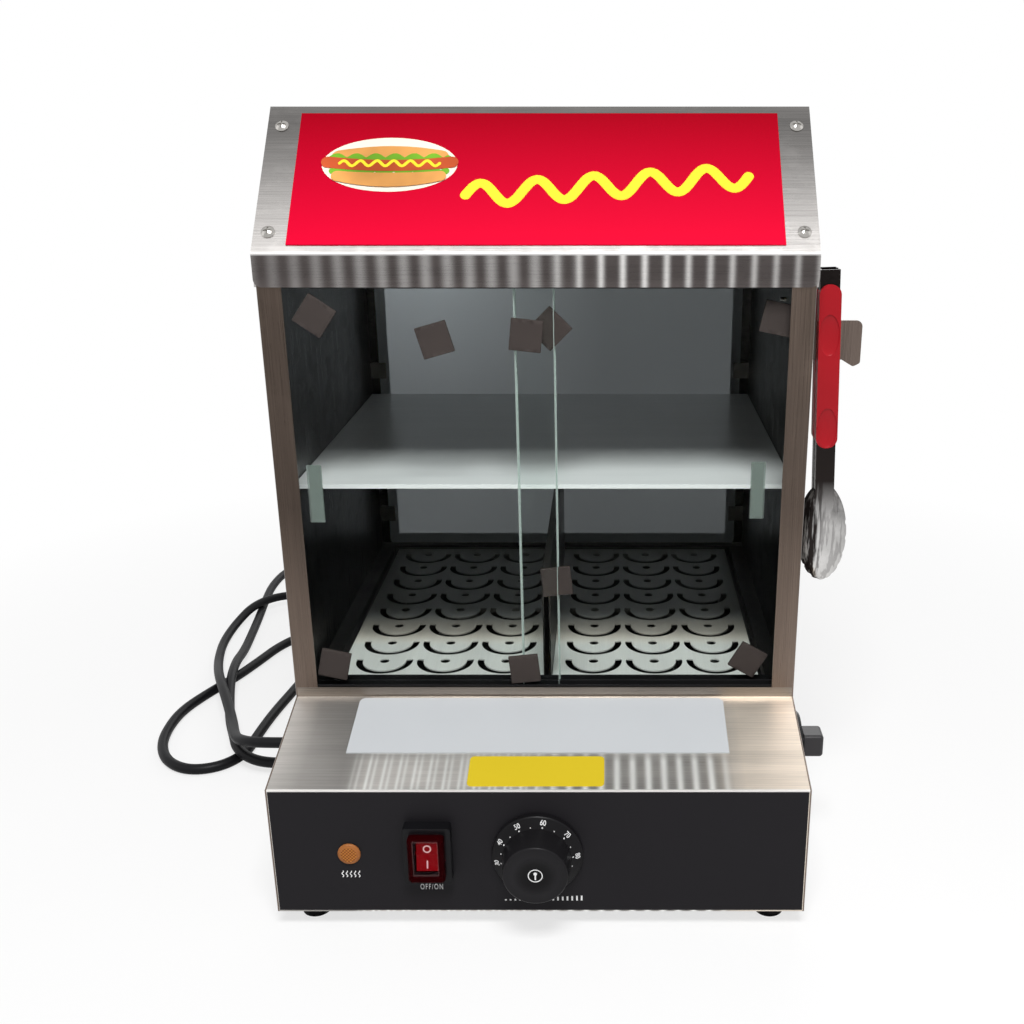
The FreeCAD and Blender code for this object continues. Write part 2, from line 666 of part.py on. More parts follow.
def water_tank():
    """Stepped steel tank that hangs by its flange from the deck."""
    wall = S.sheet_t
    outside = [tank_box("tank_flange", tank_x, tank_front, tank_back, deck_top, tank_top,
                        wall + S.tank_flange),
               tank_box("tank_upper", tank_x, tank_front, tank_back, step_z - wall, deck_top, wall),
               tank_box("tank_lower", well_x, well_front, well_back, tank_floor - wall, step_z, wall)]
    inside = [tank_box("tank_mouth", tank_x, tank_front, tank_back, step_z, tank_top + S.overrun, ZERO),
              tank_box("tank_well", well_x, well_front, well_back, tank_floor, step_z + wall, ZERO)]
    hull = fuse("tank_hull", cut("tank_shell", fuse("tank_outside", *outside), *inside),
                saddle(-1), saddle(1))
    start = well_front - wall - S.overrun
    depth = wall + S.overrun * 2
    holes = [rod("heater_hole", "Y", (heater_x * side, start, heater_z), S.heater_r + S.fit_gap, depth)
             for side in (-1, 1)]
    holes.append(rod("probe_hole", "Y", (ZERO, start, probe_z), S.probe_r + S.fit_gap, depth))
    holes.append(rod("outlet_hole", "Y", (valve_x - S.valve_w, start, pipe_z), S.pipe_r + S.fit_gap, depth))
    return cut("water_tank", hull, *holes)


keep("water_tank", water_tank())


def heating_element():
    """Tubular heater: one wide loop in the tank with both ends out through its front wall."""
    bend = S.heater_bend_r.value
    x, y0, y1, z = heater_x.value, heater_front.value, heater_back.value, heater_z.value
    shift = bend * (1 - math.cos(math.radians(45)))
    edges = [Part.LineSegment(Vector(-x, y0, z), Vector(-x, y1 - bend, z)).toShape(),
             Part.Arc(Vector(-x, y1 - bend, z), Vector(-x + shift, y1 - shift, z),
                      Vector(-x + bend, y1, z)).toShape(),
             Part.LineSegment(Vector(-x + bend, y1, z), Vector(x - bend, y1, z)).toShape(),
             Part.Arc(Vector(x - bend, y1, z), Vector(x - shift, y1 - shift, z),
                      Vector(x, y1 - bend, z)).toShape(),
             Part.LineSegment(Vector(x, y1 - bend, z), Vector(x, y0, z)).toShape()]
    ring = Part.Wire(Part.makeCircle(S.heater_r.value, Vector(-x, y0, z), Vector(0, 1, 0)))
    obj = doc.addObject("Part::Feature", "heating_element")
    obj.Shape = Part.Wire(edges).makePipeShell([ring], True, False)
    obj.Placement = Placement(Vector(mid_x.value, mid_y.value, 0), Rotation())
    return obj


keep("heating_element", heating_element())


def tank_fittings():
    """Nuts on the front of the tank that seal the heater's ends and the probe."""
    wall_y = well_front - S.sheet_t
    nuts = []
    spots = [(heater_x * side, heater_z, S.heater_r) for side in (-1, 1)]
    spots.append((ZERO, probe_z, S.capillary_r))
    for x, z, bore in spots:
        nut = doc.addObject("Part::Prism", "nut")
        nut.Polygon = 6
        bind(nut, Circumradius=S.nut_r, Height=S.nut_h)
        place(nut, x, wall_y - S.nut_h, z, AXES["Y"])
        hole = rod("nut_bore", "Y", (x, wall_y - S.nut_h - S.overrun, z), bore + S.fit_gap,
                   S.nut_h + S.overrun * 2)
        nuts.append(cut("fitting", nut, hole))
    return group("tank_fittings", nuts)


keep("tank_fittings", tank_fittings())

# Trays and divider
tray_x = tank_x - S.tray_side
tray_back = tank_back - S.tray_back
tray_front = tank_front + S.tray_fore
tray_top = step_z + S.tray_h
ring_room_x = tray_x - S.tray_mid - (S.ring_out_r + S.ring_edge) * 2
ring_room_y = tray_back - tray_front - S.ring_back - S.ring_out_r - S.ring_edge
ring_columns = int(float(ring_room_x / S.ring_pitch_x)) + 1
ring_rows = int(float(ring_room_y / S.ring_pitch_y)) + 1
RING_SWEEP = 197


def tray(name, side):
    """A perforated tray: columns of holes, each inside a slot of a little more than half a ring."""
    x0, x1 = sorted((S.tray_mid * side, tray_x * side), key=float)
    wall = S.sheet_t
    ring_turn = Rotation(Vector(0, 0, 1), 270 - RING_SWEEP / 2)
    shell = box(name + "_block", (x0, tray_front, step_z), (x1, tray_back, tray_top))
    hollow = box(name + "_hollow", (x0 + wall, tray_front + wall, step_z - S.overrun),
                 (x1 - wall, tray_back - wall, tray_top - wall))
    tools = [hollow]
    start = tray_top - wall - S.overrun
    depth = wall + S.overrun * 2
    middle = (x0 + x1) / 2
    for column in range(ring_columns):
        for row in range(ring_rows):
            x = middle + S.ring_pitch_x * (column - (ring_columns - 1) / 2)
            y = tray_back - S.ring_back - S.ring_pitch_y * row
            tools.append(rod("tray_hole", "Z", (x, y, start), S.hole_r, depth))
            disc = rod("ring_out", ring_turn, (x, y, start), S.ring_out_r, depth, RING_SWEEP)
            core = rod("ring_in", "Z", (x, y, start - S.overrun), S.ring_in_r, depth + S.overrun * 2)
            tools.append(cut("ring", disc, core))
    return cut(name, shell, *tools)


keep("tray_left", tray("tray_left", -1))
keep("tray_right", tray("tray_right", 1))

divider_x = S.tray_mid - S.touch_gap
divider_top = step_z + S.divider_h
divider_path = [(divider_x, step_z), (divider_x, divider_top), (-divider_x, divider_top),
                (-divider_x, step_z)]
keep("divider", bent("divider", "XZ", divider_path, S.sheet_t,
                     tank_back - tank_front - S.divider_inset * 2,
                     (ZERO, tank_front + S.divider_inset, ZERO)))

# Controls
body_y = front + S.sheet_t


def thermostat_knob():
    """Round knob: a skirt for the scale and a grip with a dished end."""
    profile = [(ZERO, S.knob_gap), (S.skirt_r, S.knob_gap), (S.skirt_r, S.skirt_h),
               (S.skirt_r - S.skirt_bevel, S.skirt_bevel_h), (S.grip_r, S.grip_base_h),
               (S.grip_end_r, S.knob_h), (ZERO, S.knob_h)]
    outward = Rotation(Vector(1, 0, 0), 90)
    knob = turned("knob_blank", profile, (S.knob_x, overlay_y, knob_z), outward)
    knob = round_edges(knob, S.knob_edge, lambda edge: edge.BoundBox.ZMin > S.knob_h.value - 1e-6)
    hollow = dish("knob_dish", (S.knob_x, overlay_y - S.knob_h, knob_z), S.knob_dish_r, S.knob_dish_h,
                  outward)
    bore = rod("knob_bore", "Y", (S.knob_x, overlay_y - S.shaft_in, knob_z), S.shaft_r + S.fit_gap,
               S.shaft_in)
    return cut("thermostat_knob", knob, bore, hollow)


keep("thermostat_knob", thermostat_knob())
shaft_back = body_y + S.control_d / 2
keep("thermostat_shaft", rod("thermostat_shaft", "Y", (S.knob_x, overlay_y - S.shaft_in, knob_z),
                             S.shaft_r, shaft_back - overlay_y + S.shaft_in))


def thermostat_body():
    """Control behind the panel, bored for the shaft."""
    side = S.control_w / 2
    case = box("control_case", (S.knob_x - side, body_y, knob_z - side),
               (S.knob_x + side, body_y + S.control_d, knob_z + side))
    bore = rod("control_bore", "Y", (S.knob_x, body_y - S.overrun, knob_z), S.shaft_r + S.fit_gap,
               S.control_d / 2 + S.overrun + S.fit_gap)
    return cut("thermostat_body", case, bore)


keep("thermostat_body", thermostat_body())


def thermostat_probe():
    """Capillary from the control down to the tank, and the bulb in the water."""
    start, bulb_y = body_y + S.control_d, well_front + S.probe_in
    capillary = rod("capillary", "Y", (ZERO, start, probe_z), S.capillary_r, bulb_y - start)
    bulb = rod("bulb", "Y", (ZERO, bulb_y, probe_z), S.probe_r, S.probe_l)
    return fuse("thermostat_probe", capillary, bulb)


keep("thermostat_probe", thermostat_probe())

bezel_y = overlay_y - S.bezel_d
rocker_y = bezel_y + S.rocker_in
rocker_turn = ("X", -S.rocker_tilt)


def switch_body():
    """Rocker switch: bezel with a well for the rocker, and the body behind the panel."""
    side, tall = S.bezel_w / 2, S.bezel_h / 2
    bezel = plate("bezel", "XZ", rectangle(-side, -tall, side, tall), S.bezel_d,
                  (S.switch_x, bezel_y, switch_z))
    bezel = round_edges(bezel, S.bezel_corner, along("Y"))
    side, tall = S.switch_back_w / 2, S.switch_back_h / 2
    rear = box("switch_rear", (S.switch_x - side, overlay_y, switch_z - tall),
               (S.switch_x + side, body_y + S.switch_back_d, switch_z + tall))
    side, tall = S.rocker_w / 2 + S.rocker_play, S.rocker_h / 2 + S.rocker_play
    well = box("switch_well", (S.switch_x - side, bezel_y - S.overrun, switch_z - tall),
               (S.switch_x + side, overlay_y, switch_z + tall))
    sockets = rod("rocker_socket", "X", (S.switch_x - side - S.rocker_pin_l, rocker_y, switch_z),
                  S.rocker_pin_r + S.fit_gap, side * 2 + S.rocker_pin_l * 2)
    return cut("switch_body", fuse("switch_blank", bezel, rear), well, sockets)


keep("switch_body", switch_body())


def switch_rocker():
    """Rocker with two sloped faces and its own axle stubs, tilted to the off side."""
    tall, tip = S.rocker_h / 2, S.rocker_front + S.rocker_peak
    outline = [(-S.rocker_front, ZERO), (-tip, tall), (S.rocker_side, tall), (S.rocker_rear, tall / 2),
               (S.rocker_rear, -tall / 2), (S.rocker_side, -tall), (-tip, -tall)]
    block = plate("rocker_block", "YZ", outline, S.rocker_w,
                  (S.switch_x - S.rocker_w / 2, rocker_y, switch_z), rocker_turn)
    reach = S.rocker_w / 2 + S.rocker_play + S.rocker_pin_l - S.touch_gap
    axle = rod("rocker_axle", "X", (S.switch_x - reach, rocker_y, switch_z), S.rocker_pin_r, reach * 2)
    return fuse("switch_rocker", block, axle)


keep("switch_rocker", switch_rocker())


def switch_boot():
    """Clear splash cover over the rocker, seated on the bezel."""
    side, tall = S.boot_w / 2, S.boot_h / 2
    at = (S.switch_x, bezel_y - S.boot_d, switch_z)
    cover = plate("boot_cover", "XZ", rectangle(-side, -tall, side, tall), S.boot_d, at)
    cover = round_edges(cover, S.boot_corner, lambda edge: edge.BoundBox.YMin < S.overrun.value)
    side, tall, wall = side - S.boot_t, tall - S.boot_t, S.boot_t
    hollow = plate("boot_hollow", "XZ", rectangle(-side, -tall, side, tall), S.boot_d,
                   (S.switch_x, bezel_y - S.boot_d + wall, switch_z))
    hollow = round_edges(hollow, S.boot_corner - wall, lambda edge: edge.BoundBox.YMin < S.overrun.value)
    return cut("switch_boot", cover, hollow)


keep("switch_boot", switch_boot())


def lamp_housing():
    """Pilot lamp: its rim on the panel and its body behind."""
    outward = Rotation(Vector(1, 0, 0), 90)
    rim, seat = S.lamp_r, S.lens_r + S.fit_gap
    depth = S.lamp_body_d
    profile = [(ZERO, -depth), (S.lamp_body_r, -depth), (S.lamp_body_r, ZERO), (rim, ZERO),
               (rim, S.lamp_h - S.lamp_bevel), (rim - S.lamp_bevel, S.lamp_h), (seat, S.lamp_h),
               (seat, S.lens_h / 2), (ZERO, S.lens_h / 2)]
    return turned("lamp_housing", profile, (S.lamp_x, overlay_y, lamp_z), outward)


def lamp_lens():
    """Amber lens in the lamp's rim."""
    outward = Rotation(Vector(1, 0, 0), 90)
    top = S.lamp_h + S.lens_h / 2
    profile = [(ZERO, S.lens_h / 2), (S.lens_r, S.lens_h / 2), (S.lens_r, top - S.lens_h / 2),
               (S.lens_r - S.lens_h, top), (ZERO, top)]
    return turned("lamp_lens", profile, (S.lamp_x, overlay_y, lamp_z), outward)


keep("lamp_housing", lamp_housing())
keep("lamp_lens", lamp_lens())


TERMINALS = 4


def terminal_block():
    """Connector strip on the bottom pan, with a row of screw wells."""
    x0, y0 = -inner + S.block_side, front + S.block_back
    block = box("block", (x0, y0, pan_top), (x0 + S.block_w, y0 + S.block_d, pan_top + S.block_h))
    wells = []
    for number in range(TERMINALS):
        x = x0 + S.block_w * ((number + 1 / 2) / TERMINALS)
        wells.append(rod("block_well", "Z", (x, y0 + S.block_d / 2, pan_top + S.block_h / 2),
                         S.screw_head_r, S.block_h))
    return cut("terminal_block", block, *wells)


keep("terminal_block", terminal_block())

# Shelf
shelf_z = shelf_top - S.sheet_t
shelf_front = face_y + S.shelf_front
shelf_back = back_in - S.back_glass_t - S.clip_t - S.touch_gap
shelf_x = inner - S.shelf_side


def shelf():
    """Plain shelf with a short lip folded down along its front edge."""
    path = [(shelf_back, shelf_top), (shelf_front, shelf_top), (shelf_front, shelf_top - S.shelf_lip)]
    return bent("shelf", "YZ", path, S.sheet_t, shelf_x * 2, (-shelf_x, ZERO, ZERO))


keep("shelf", shelf())


def shelf_rails():
    """Angles on the side walls that carry the shelf."""
    rails = []
    low, high = shelf_z - S.rail_leg, shelf_z
    y0, y1 = shelf_front + S.rail_leg, shelf_back
    for side in (-1, 1):
        x0, x1 = sorted((inner * side, (inner - S.rail_t) * side), key=float)
        leg = box("rail_leg", (x0, y0, low), (x1, y1, high))
        x0, x1 = sorted((inner * side, (inner - S.rail_leg) * side), key=float)
        seat = box("rail_seat", (x0, y0, high - S.rail_t), (x1, y1, high))
        rails.append(fuse("shelf_rail", leg, seat))
    return group("shelf_rails", rails)


keep("shelf_rails", shelf_rails())

# Door tracks and sliding doors
track_low = sill_z + S.sheet_t
slot_1 = track_y + S.track_wall
slot_2 = slot_1 + S.pane_slot + S.track_mid
track_back = slot_2 + S.pane_slot + S.track_wall
pane_play = (S.pane_slot - S.pane_t) / 2
pane_1 = slot_1 + pane_play
pane_2 = slot_2 + pane_play


def track(name, low, high, floor_low, floor_high):
    """Double channel for the two panes, open on the side away from its floor."""
    block = box(name + "_block", (-inner, track_y, low), (inner, track_back, high))
    slots = []
    for y in (slot_1, slot_2):
        slots.append(box(name + "_slot", (-inner - S.overrun, y, floor_low),
                         (inner + S.overrun, y + S.pane_slot, floor_high)))
    return cut(name, block, *slots)


track_top = track_low + S.track_h
keep("door_track_bottom", track("door_track_bottom", track_low, track_top,
                                track_low + S.track_floor, track_top + S.overrun))
top_track_low = header_z - S.top_track_h
keep("door_track_top", track("door_track_top", top_track_low, header_z,
                             top_track_low - S.overrun, header_z - S.track_floor))

pane_low = track_low + S.track_floor + S.touch_gap
pane_top = header_z - S.track_floor - S.touch_gap * 4
pane_w = (inner * 2 - S.pane_side - S.pane_side_right + S.pane_overlap) / 2
left_x = -inner + S.pane_side
right_x = inner - S.pane_side_right - pane_w


def pane(name, x, y):
    """One glass door with slightly rounded corners."""
    outline = rectangle(ZERO, pane_low, pane_w, pane_top)
    return round_edges(plate(name, "XZ", outline, S.pane_t, (x, y, ZERO)), S.pane_t / 2, along("Y"))


keep("glass_door_left", pane("glass_door_left", left_x, pane_1))
keep("glass_door_right", pane("glass_door_right", right_x, pane_2))


def pull(name, x, y):
    """Glass finger strip bonded to a door."""
    low = rail_top + S.pull_rise
    outline = rectangle(ZERO, low, S.pull_w, low + S.pull_h)
    strip = plate(name, "XZ", outline, S.pull_t, (x, y - S.pull_t, ZERO))
    return round_edges(strip, S.pull_t / 3, along("Z"))


keep("door_pull_left", pull("door_pull_left", left_x + S.pull_inset, pane_1))
right_pull_x = right_x + pane_w - S.pull_inset - S.pull_w
keep("door_pull_right", pull("door_pull_right", right_pull_x, pane_2))

# Foam pads: (x as a share of half the case, height as a share of the post, turn in degrees)
LEFT_PAD_SHARES = [(-0.805, 0.935, 35), (-0.375, 0.880, -16), (-0.043, 0.890, 6),
                   (-0.838, 0.061, 13), (-0.079, 0.048, -6)]
RIGHT_PAD_SHARES = [(0.042, 0.901, 45), (0.876, 0.924, 12), (0.818, 0.060, 30), (0.053, 0.274, -6)]


def pads(name, shares, y):
    """Square foam pads stuck on the front of a door."""
    pieces = []
    for x_share, z_share, angle in shares:
        outline = rectangle(-S.pad_w / 2, -S.pad_w / 2, S.pad_w / 2, S.pad_w / 2)
        at = (half * x_share, y - S.pad_t, rail_top + S.post_h * z_share)
        pieces.append(plate("pad", "XZ", outline, S.pad_t, at, Rotation(Vector(0, 1, 0), angle)))
    return group(name, pieces)


keep("foam_pads_left", pads("foam_pads_left", LEFT_PAD_SHARES, pane_1))
keep("foam_pads_right", pads("foam_pads_right", RIGHT_PAD_SHARES, pane_2))

# Hood
lip_y = face_y - S.hood_t
lip_back = back + S.hood_t
lip_top = case_top + S.lip_h
hut_top = lip_top + S.slope_rise
hut_front = lip_y + S.slope_run
hut_back = lip_back - S.slope_run
slope_l = root(product(S.slope_run, S.slope_run) + product(S.slope_rise, S.slope_rise))
slope_turn = ("X", incline(S.slope_rise, S.slope_run))


def on_slope(distance):
    """Y and Z of a point on the front of the hood, a distance up its slope."""
    share = ratio(distance, slope_l)
    return lip_y + product(S.slope_run, share), lip_top + product(S.slope_rise, share)


sign_screw_spots = []
for distance in (S.sign_screw_end, slope_l - S.sign_screw_end):
    for side in (-1, 1):
        sign_screw_spots.append(((half + S.hood_t - S.sign_screw_side) * side, *on_slope(distance)))


def lip_trims(name):
    """Tools that round the lower outer corners of the front lip."""
    trims = []
    for side in (-1, 1):
        edge = half + S.hood_t
        x0, x1 = sorted(((edge - S.lip_corner) * side, (edge + S.overrun) * side), key=float)
        block = box(name, (x0, lip_y - S.overrun, case_top - S.overrun),
                    (x1, face_y, case_top + S.lip_corner))
        disc = rod(name, "Y", ((edge - S.lip_corner) * side, lip_y - S.overrun * 2,
                               case_top + S.lip_corner), S.lip_corner, S.hood_t + S.overrun * 4)
        trims.append(cut(name, block, disc))
    return trims


def hood_shell():
    """Hood sheet: front lip, front slope, top, back slope and back lip."""
    path = [(lip_back, case_top), (lip_back, lip_top), (hut_back, hut_top), (hut_front, hut_top),
            (lip_y, lip_top), (lip_y, case_top)]
    shell = bent("hood_sheet", "YZ", path, S.hood_t, S.case_w, (-half, ZERO, ZERO))
    holes = []
    for x, y, z in sign_screw_spots:
        hole = doc.addObject("Part::Cylinder", "sign_hole")
        reach = S.hood_t * 3
        bind(hole, Radius=S.screw_shank_r + S.fit_gap, Height=reach * 2)
        lower_y = y + product(reach, ratio(S.slope_rise, slope_l))
        lower_z = z - product(reach, ratio(S.slope_run, slope_l))
        holes.append(place(hole, x, lower_y, lower_z, slope_turn))
    return cut("hood_shell", shell, *holes, *lip_trims("lip_trim"))


def hood_end(name, side):
    """Side cheek of the hood, lapped over the side of the case."""
    outline = [(lip_y, case_top), (lip_back, case_top), (lip_back, lip_top), (hut_back, hut_top),
               (hut_front, hut_top), (lip_y, lip_top)]
    x = half if side > 0 else -half - S.hood_t
    cheek = plate(name + "_sheet", "YZ", outline, S.hood_t, (x, ZERO, ZERO))
    return cut(name, cheek, *lip_trims(name + "_trim"))


keep("hood_shell", hood_shell())
keep("hood_end_left", hood_end("hood_end_left", -1))
keep("hood_end_right", hood_end("hood_end_right", 1))


def sign_panel():
    """Flat plate on the front slope of the hood."""
    y, z = on_slope(S.sign_inset)
    sign_x = half - S.sign_side
    outline = rectangle(-sign_x, ZERO, sign_x, slope_l - S.sign_inset * 2)
    return plate("sign_panel", "XY", outline, S.sign_t, (ZERO, y, z), slope_turn)


keep("sign_panel", sign_panel())
sign_screws = [screw("sign_screw", slope_turn, spot, S.sign_screw_r, S.sign_screw_h, S.screw_shank_r,
                     S.screw_shank_l) for spot in sign_screw_spots]
keep("sign_screws", group("sign_screws", sign_screws))


def case_screws():
    """Screws in the two sides of the case."""
    screws = []
    for side, turn in ((-1, Rotation(Vector(0, 1, 0), -90)), (1, AXES["X"])):
        for y, z in side_screw_spots:
            screws.append(screw("case_screw", turn, (half * side, y, z), S.screw_head_r, S.screw_head_h,
                                S.screw_shank_r, S.screw_shank_l))
    for y, z in hook_screw_spots:
        screws.append(screw("hook_screw", AXES["X"], (half + S.hook_t, y, z), S.screw_head_r,
                            S.screw_head_h, S.screw_shank_r, S.screw_shank_l))
    return group("case_screws", screws)


keep("case_screws", case_screws())

# Hook and tongs
tong_x = half + S.tong_side
pivot_z = case_top + S.pivot_low
tong_top = pivot_z + S.pivot_drop
hook_front = hook_y - S.hook_t / 2
finger_top = pivot_z - S.spring_r - S.touch_gap


def tong_hook():
    """Steel hook on the right side: a leg on the wall, a tab and a finger for the tongs."""
    leg = box("hook_plate", (half, hook_front, hook_z - S.hook_h),
              (half + S.hook_t, hook_front + S.hook_leg, hook_z))
    reach, low = half + S.hook_out, hook_z - S.hook_h
    outline = [(half, low), (reach - S.hook_leg / 2, low), (reach - S.hook_tip, low - S.hook_tip),
               (reach, low - S.hook_tip / 2), (reach, hook_z), (tong_x + S.finger_w / 2, hook_z),
               (tong_x + S.finger_w / 2, finger_top), (tong_x - S.finger_w / 2, finger_top),
               (tong_x - S.finger_w / 2, hook_z), (half, hook_z)]
    tab = plate("hook_tab", "XZ", outline, S.hook_t, (ZERO, hook_front, ZERO))

    def at_corner(edge):
        bounds = edge.BoundBox
        return along("Y")(edge) and bounds.XMin > reach.value - 1e-6 and bounds.ZMin > low.value

    def at_tip(edge):
        return along("Y")(edge) and edge.BoundBox.ZMax < low.value - 1e-6

    tab = round_edges(tab, S.hook_corner, at_corner)
    tab = round_edges(tab, S.hook_tip_r, at_tip)
    holes = [rod("hook_hole", "X", (half - S.overrun, y, z), S.screw_shank_r + S.fit_gap,
                 S.hook_t + S.overrun * 2) for y, z in hook_screw_spots]
    return cut("tong_hook", fuse("hook_blank", leg, tab), *holes)


keep("tong_hook", tong_hook())
rim_gap = S.hook_t / 2 + S.tong_gap
head_z = tong_top - S.arm_l
# The tongs lean about their pin, so that the heads stay clear of the wall
head_drop = pivot_z - head_z
lean_sin = ratio(S.head_lean, head_drop)
lean_cos = root(1 - product(lean_sin, lean_sin))


def leaned(piece):
    """Tip an upright piece of the tongs about their pin, its lower end away from the wall."""
    piece.Label = piece.Name + "_upright"
    holder = doc.addObject("Part::Compound", piece.Name + "_leaned")
    holder.Links = [piece]
    holder.Placement = Placement(Vector(), Rotation(Vector(0, -1, 0), 1))
    holder.setExpression("Placement.Rotation.Angle", incline(lean_sin, lean_cos).text)
    pin_x = mid_x + tong_x
    shift_x = pin_x - product(pin_x, lean_cos) + product(pivot_z, lean_sin)
    shift_z = pivot_z - product(pin_x, lean_sin) - product(pivot_z, lean_cos)
    holder.setExpression("Placement.Base.x", shift_x.text)
    holder.setExpression("Placement.Base.z", shift_z.text)
    return holder


def ellipsoid(name, height, depth, width):
    """A whole ellipsoid from its three radii, its seam at the end of the second."""
    egg = doc.addObject("Part::Ellipsoid", name)
    bind(egg, Radius1=height, Radius2=depth, Radius3=width)
    egg.Angle1 = -90
    egg.Angle2 = 90
    egg.Angle3 = 360
    return egg


def span(name, side, x0, x1, near, far, z0, z1):
    """A block of an arm, between two depths from the tongs' middle plane."""
    y0, y1 = sorted((hook_y + near * side, hook_y + far * side), key=float)
    return box(name, (tong_x + x0, y0, z0), (tong_x + x1, y1, z1))


def channel(name, side, inset):
    """Tapered channel of an arm, or the space inside it."""
    near, far = (rim_gap, rim_gap + S.arm_depth - inset)
    if float(inset) > 0:
        near = near - S.overrun
    wide, narrow = S.arm_w / 2 - inset, S.arm_end_w / 2 - inset
    low, waist, top = head_z, head_z + S.arm_taper, tong_top + inset
    outline = [(-narrow, low), (narrow, low), (wide, waist), (wide, top), (-wide, top), (-wide, waist)]
    y = sorted((hook_y + near * side, hook_y + far * side), key=float)
    return plate(name, "XZ", outline, far - near, (tong_x, y[0], ZERO))


def bowl(name, side, inset):
    """Half an egg shape: the outside of a head, or the space inside it."""
    egg = ellipsoid(name + "_egg", S.head_half_l - inset, S.head_depth - inset, S.head_half_w - inset)
    place(egg, tong_x, hook_y + rim_gap * side, head_z, Rotation(Vector(0, 0, 1), -90 * side))
    near = rim_gap - (S.overrun if float(inset) > 0 else ZERO)
    room = span(name + "_room", side, -S.head_half_w - S.overrun, S.head_half_w + S.overrun,
                near, rim_gap + S.head_depth + S.overrun,
                head_z - S.head_half_l - S.overrun, head_z + S.head_half_l + S.overrun)
    return common(name, egg, room)


SCALLOP_TURNS = range(-78, 30, 18)


def scallops(name, side):
    """Round notches along the rim of a head, as degrees up from its outer side."""
    notches = []
    far = S.scallop_r * S.scallop_out_share
    y0, y1 = sorted((hook_y + (rim_gap - S.overrun) * side, hook_y + (rim_gap + S.head_depth) * side),
                    key=float)
    for x_side in (-1, 1):
        for turn in SCALLOP_TURNS:
            x = tong_x + (S.head_half_w + far) * (math.cos(math.radians(turn)) * x_side)
            z = head_z + (S.head_half_l + far) * math.sin(math.radians(turn))
            notches.append(rod(name, "Y", (x, y0, z), S.scallop_r, y1 - y0))
    return notches


def tong_arm(name, side, lug_in):
    """One arm: a channel that runs out into a scalloped head, with two lugs for the pin."""
    outside = fuse(name + "_outside", channel(name + "_channel", side, ZERO),
                   bowl(name + "_head", side, ZERO))
    inside = fuse(name + "_inside", channel(name + "_groove", side, S.arm_t),
                  bowl(name + "_hollow", side, S.arm_t))
    arm = cut(name + "_shell", outside, inside)
    lugs = []
    face = rim_gap + S.arm_depth
    for x_side in (-1, 1):
        x0, x1 = sorted((lug_in * x_side, (lug_in + S.lug_t) * x_side), key=float)
        lugs.append(span(name + "_lug", side, x0, x1, ZERO, face - S.arm_t / 2,
                         pivot_z - S.lug_r, pivot_z + S.lug_r))
        lugs.append(rod(name + "_lug_end", "X", (tong_x + x0, hook_y, pivot_z), S.lug_r, S.lug_t))
    bore = rod(name + "_bore", "X", (tong_x - S.arm_w, hook_y, pivot_z), S.pin_r + S.fit_gap, S.arm_w * 2)
    return cut(name, fuse(name + "_lugged", arm, *lugs), bore, *scallops(name + "_scallop", side))


lug_rear = S.spring_half_l + S.lug_gap
lug_front = lug_rear + S.lug_t + S.lug_gap
keep("tong_arm_front", leaned(tong_arm("tong_arm_front", -1, lug_front)))
keep("tong_arm_rear", leaned(tong_arm("tong_arm_rear", 1, lug_rear)))


def tong_grip(name, side):
    """Moulded sleeve on an arm, with two thumb hollows."""
    near, far = rim_gap, rim_gap + S.arm_depth + S.grip_t
    top = tong_top - S.grip_top
    low = top - S.grip_l
    wide = S.grip_w / 2
    y = sorted((hook_y + near * side, hook_y + far * side), key=float)
    sleeve = plate(name + "_sleeve", "XZ", rectangle(-wide, low, wide, top), far - near,
                   (tong_x, y[0], ZERO))
    sleeve = round_edges(sleeve, wide * S.grip_round_share, along("Y"))
    tools = [channel(name + "_core", side, ZERO)]
    for drop in (S.thumb_high, S.thumb_low):
        egg = ellipsoid(name + "_thumb", S.thumb_l, S.thumb_d, S.thumb_w)
        tools.append(place(egg, tong_x, hook_y + far * side, tong_top - drop,
                           Rotation(Vector(0, 0, 1), 90 * side)))
    return cut(name, sleeve, *tools)


keep("tong_grip_front", leaned(tong_grip("tong_grip_front", -1)))
keep("tong_grip_rear", leaned(tong_grip("tong_grip_rear", 1)))
pin_l = lug_front + S.lug_t
keep("tong_pin", leaned(rod("tong_pin", "X", (tong_x - pin_l, hook_y, pivot_z), S.pin_r, pin_l * 2)))


def tong_spring():
    """Coil around the pin, between the lugs, by which the tongs hang on the hook's finger."""
    side = S.spring_half_l
    outer = rod("spring_outer", "X", (tong_x - side, hook_y, pivot_z), S.spring_r, side * 2)
    hole = rod("spring_hole", "X", (tong_x - side * 2, hook_y, pivot_z), S.pin_r + S.fit_gap, side * 4)
    return cut("tong_spring", outer, hole)


keep("tong_spring", leaned(tong_spring()))


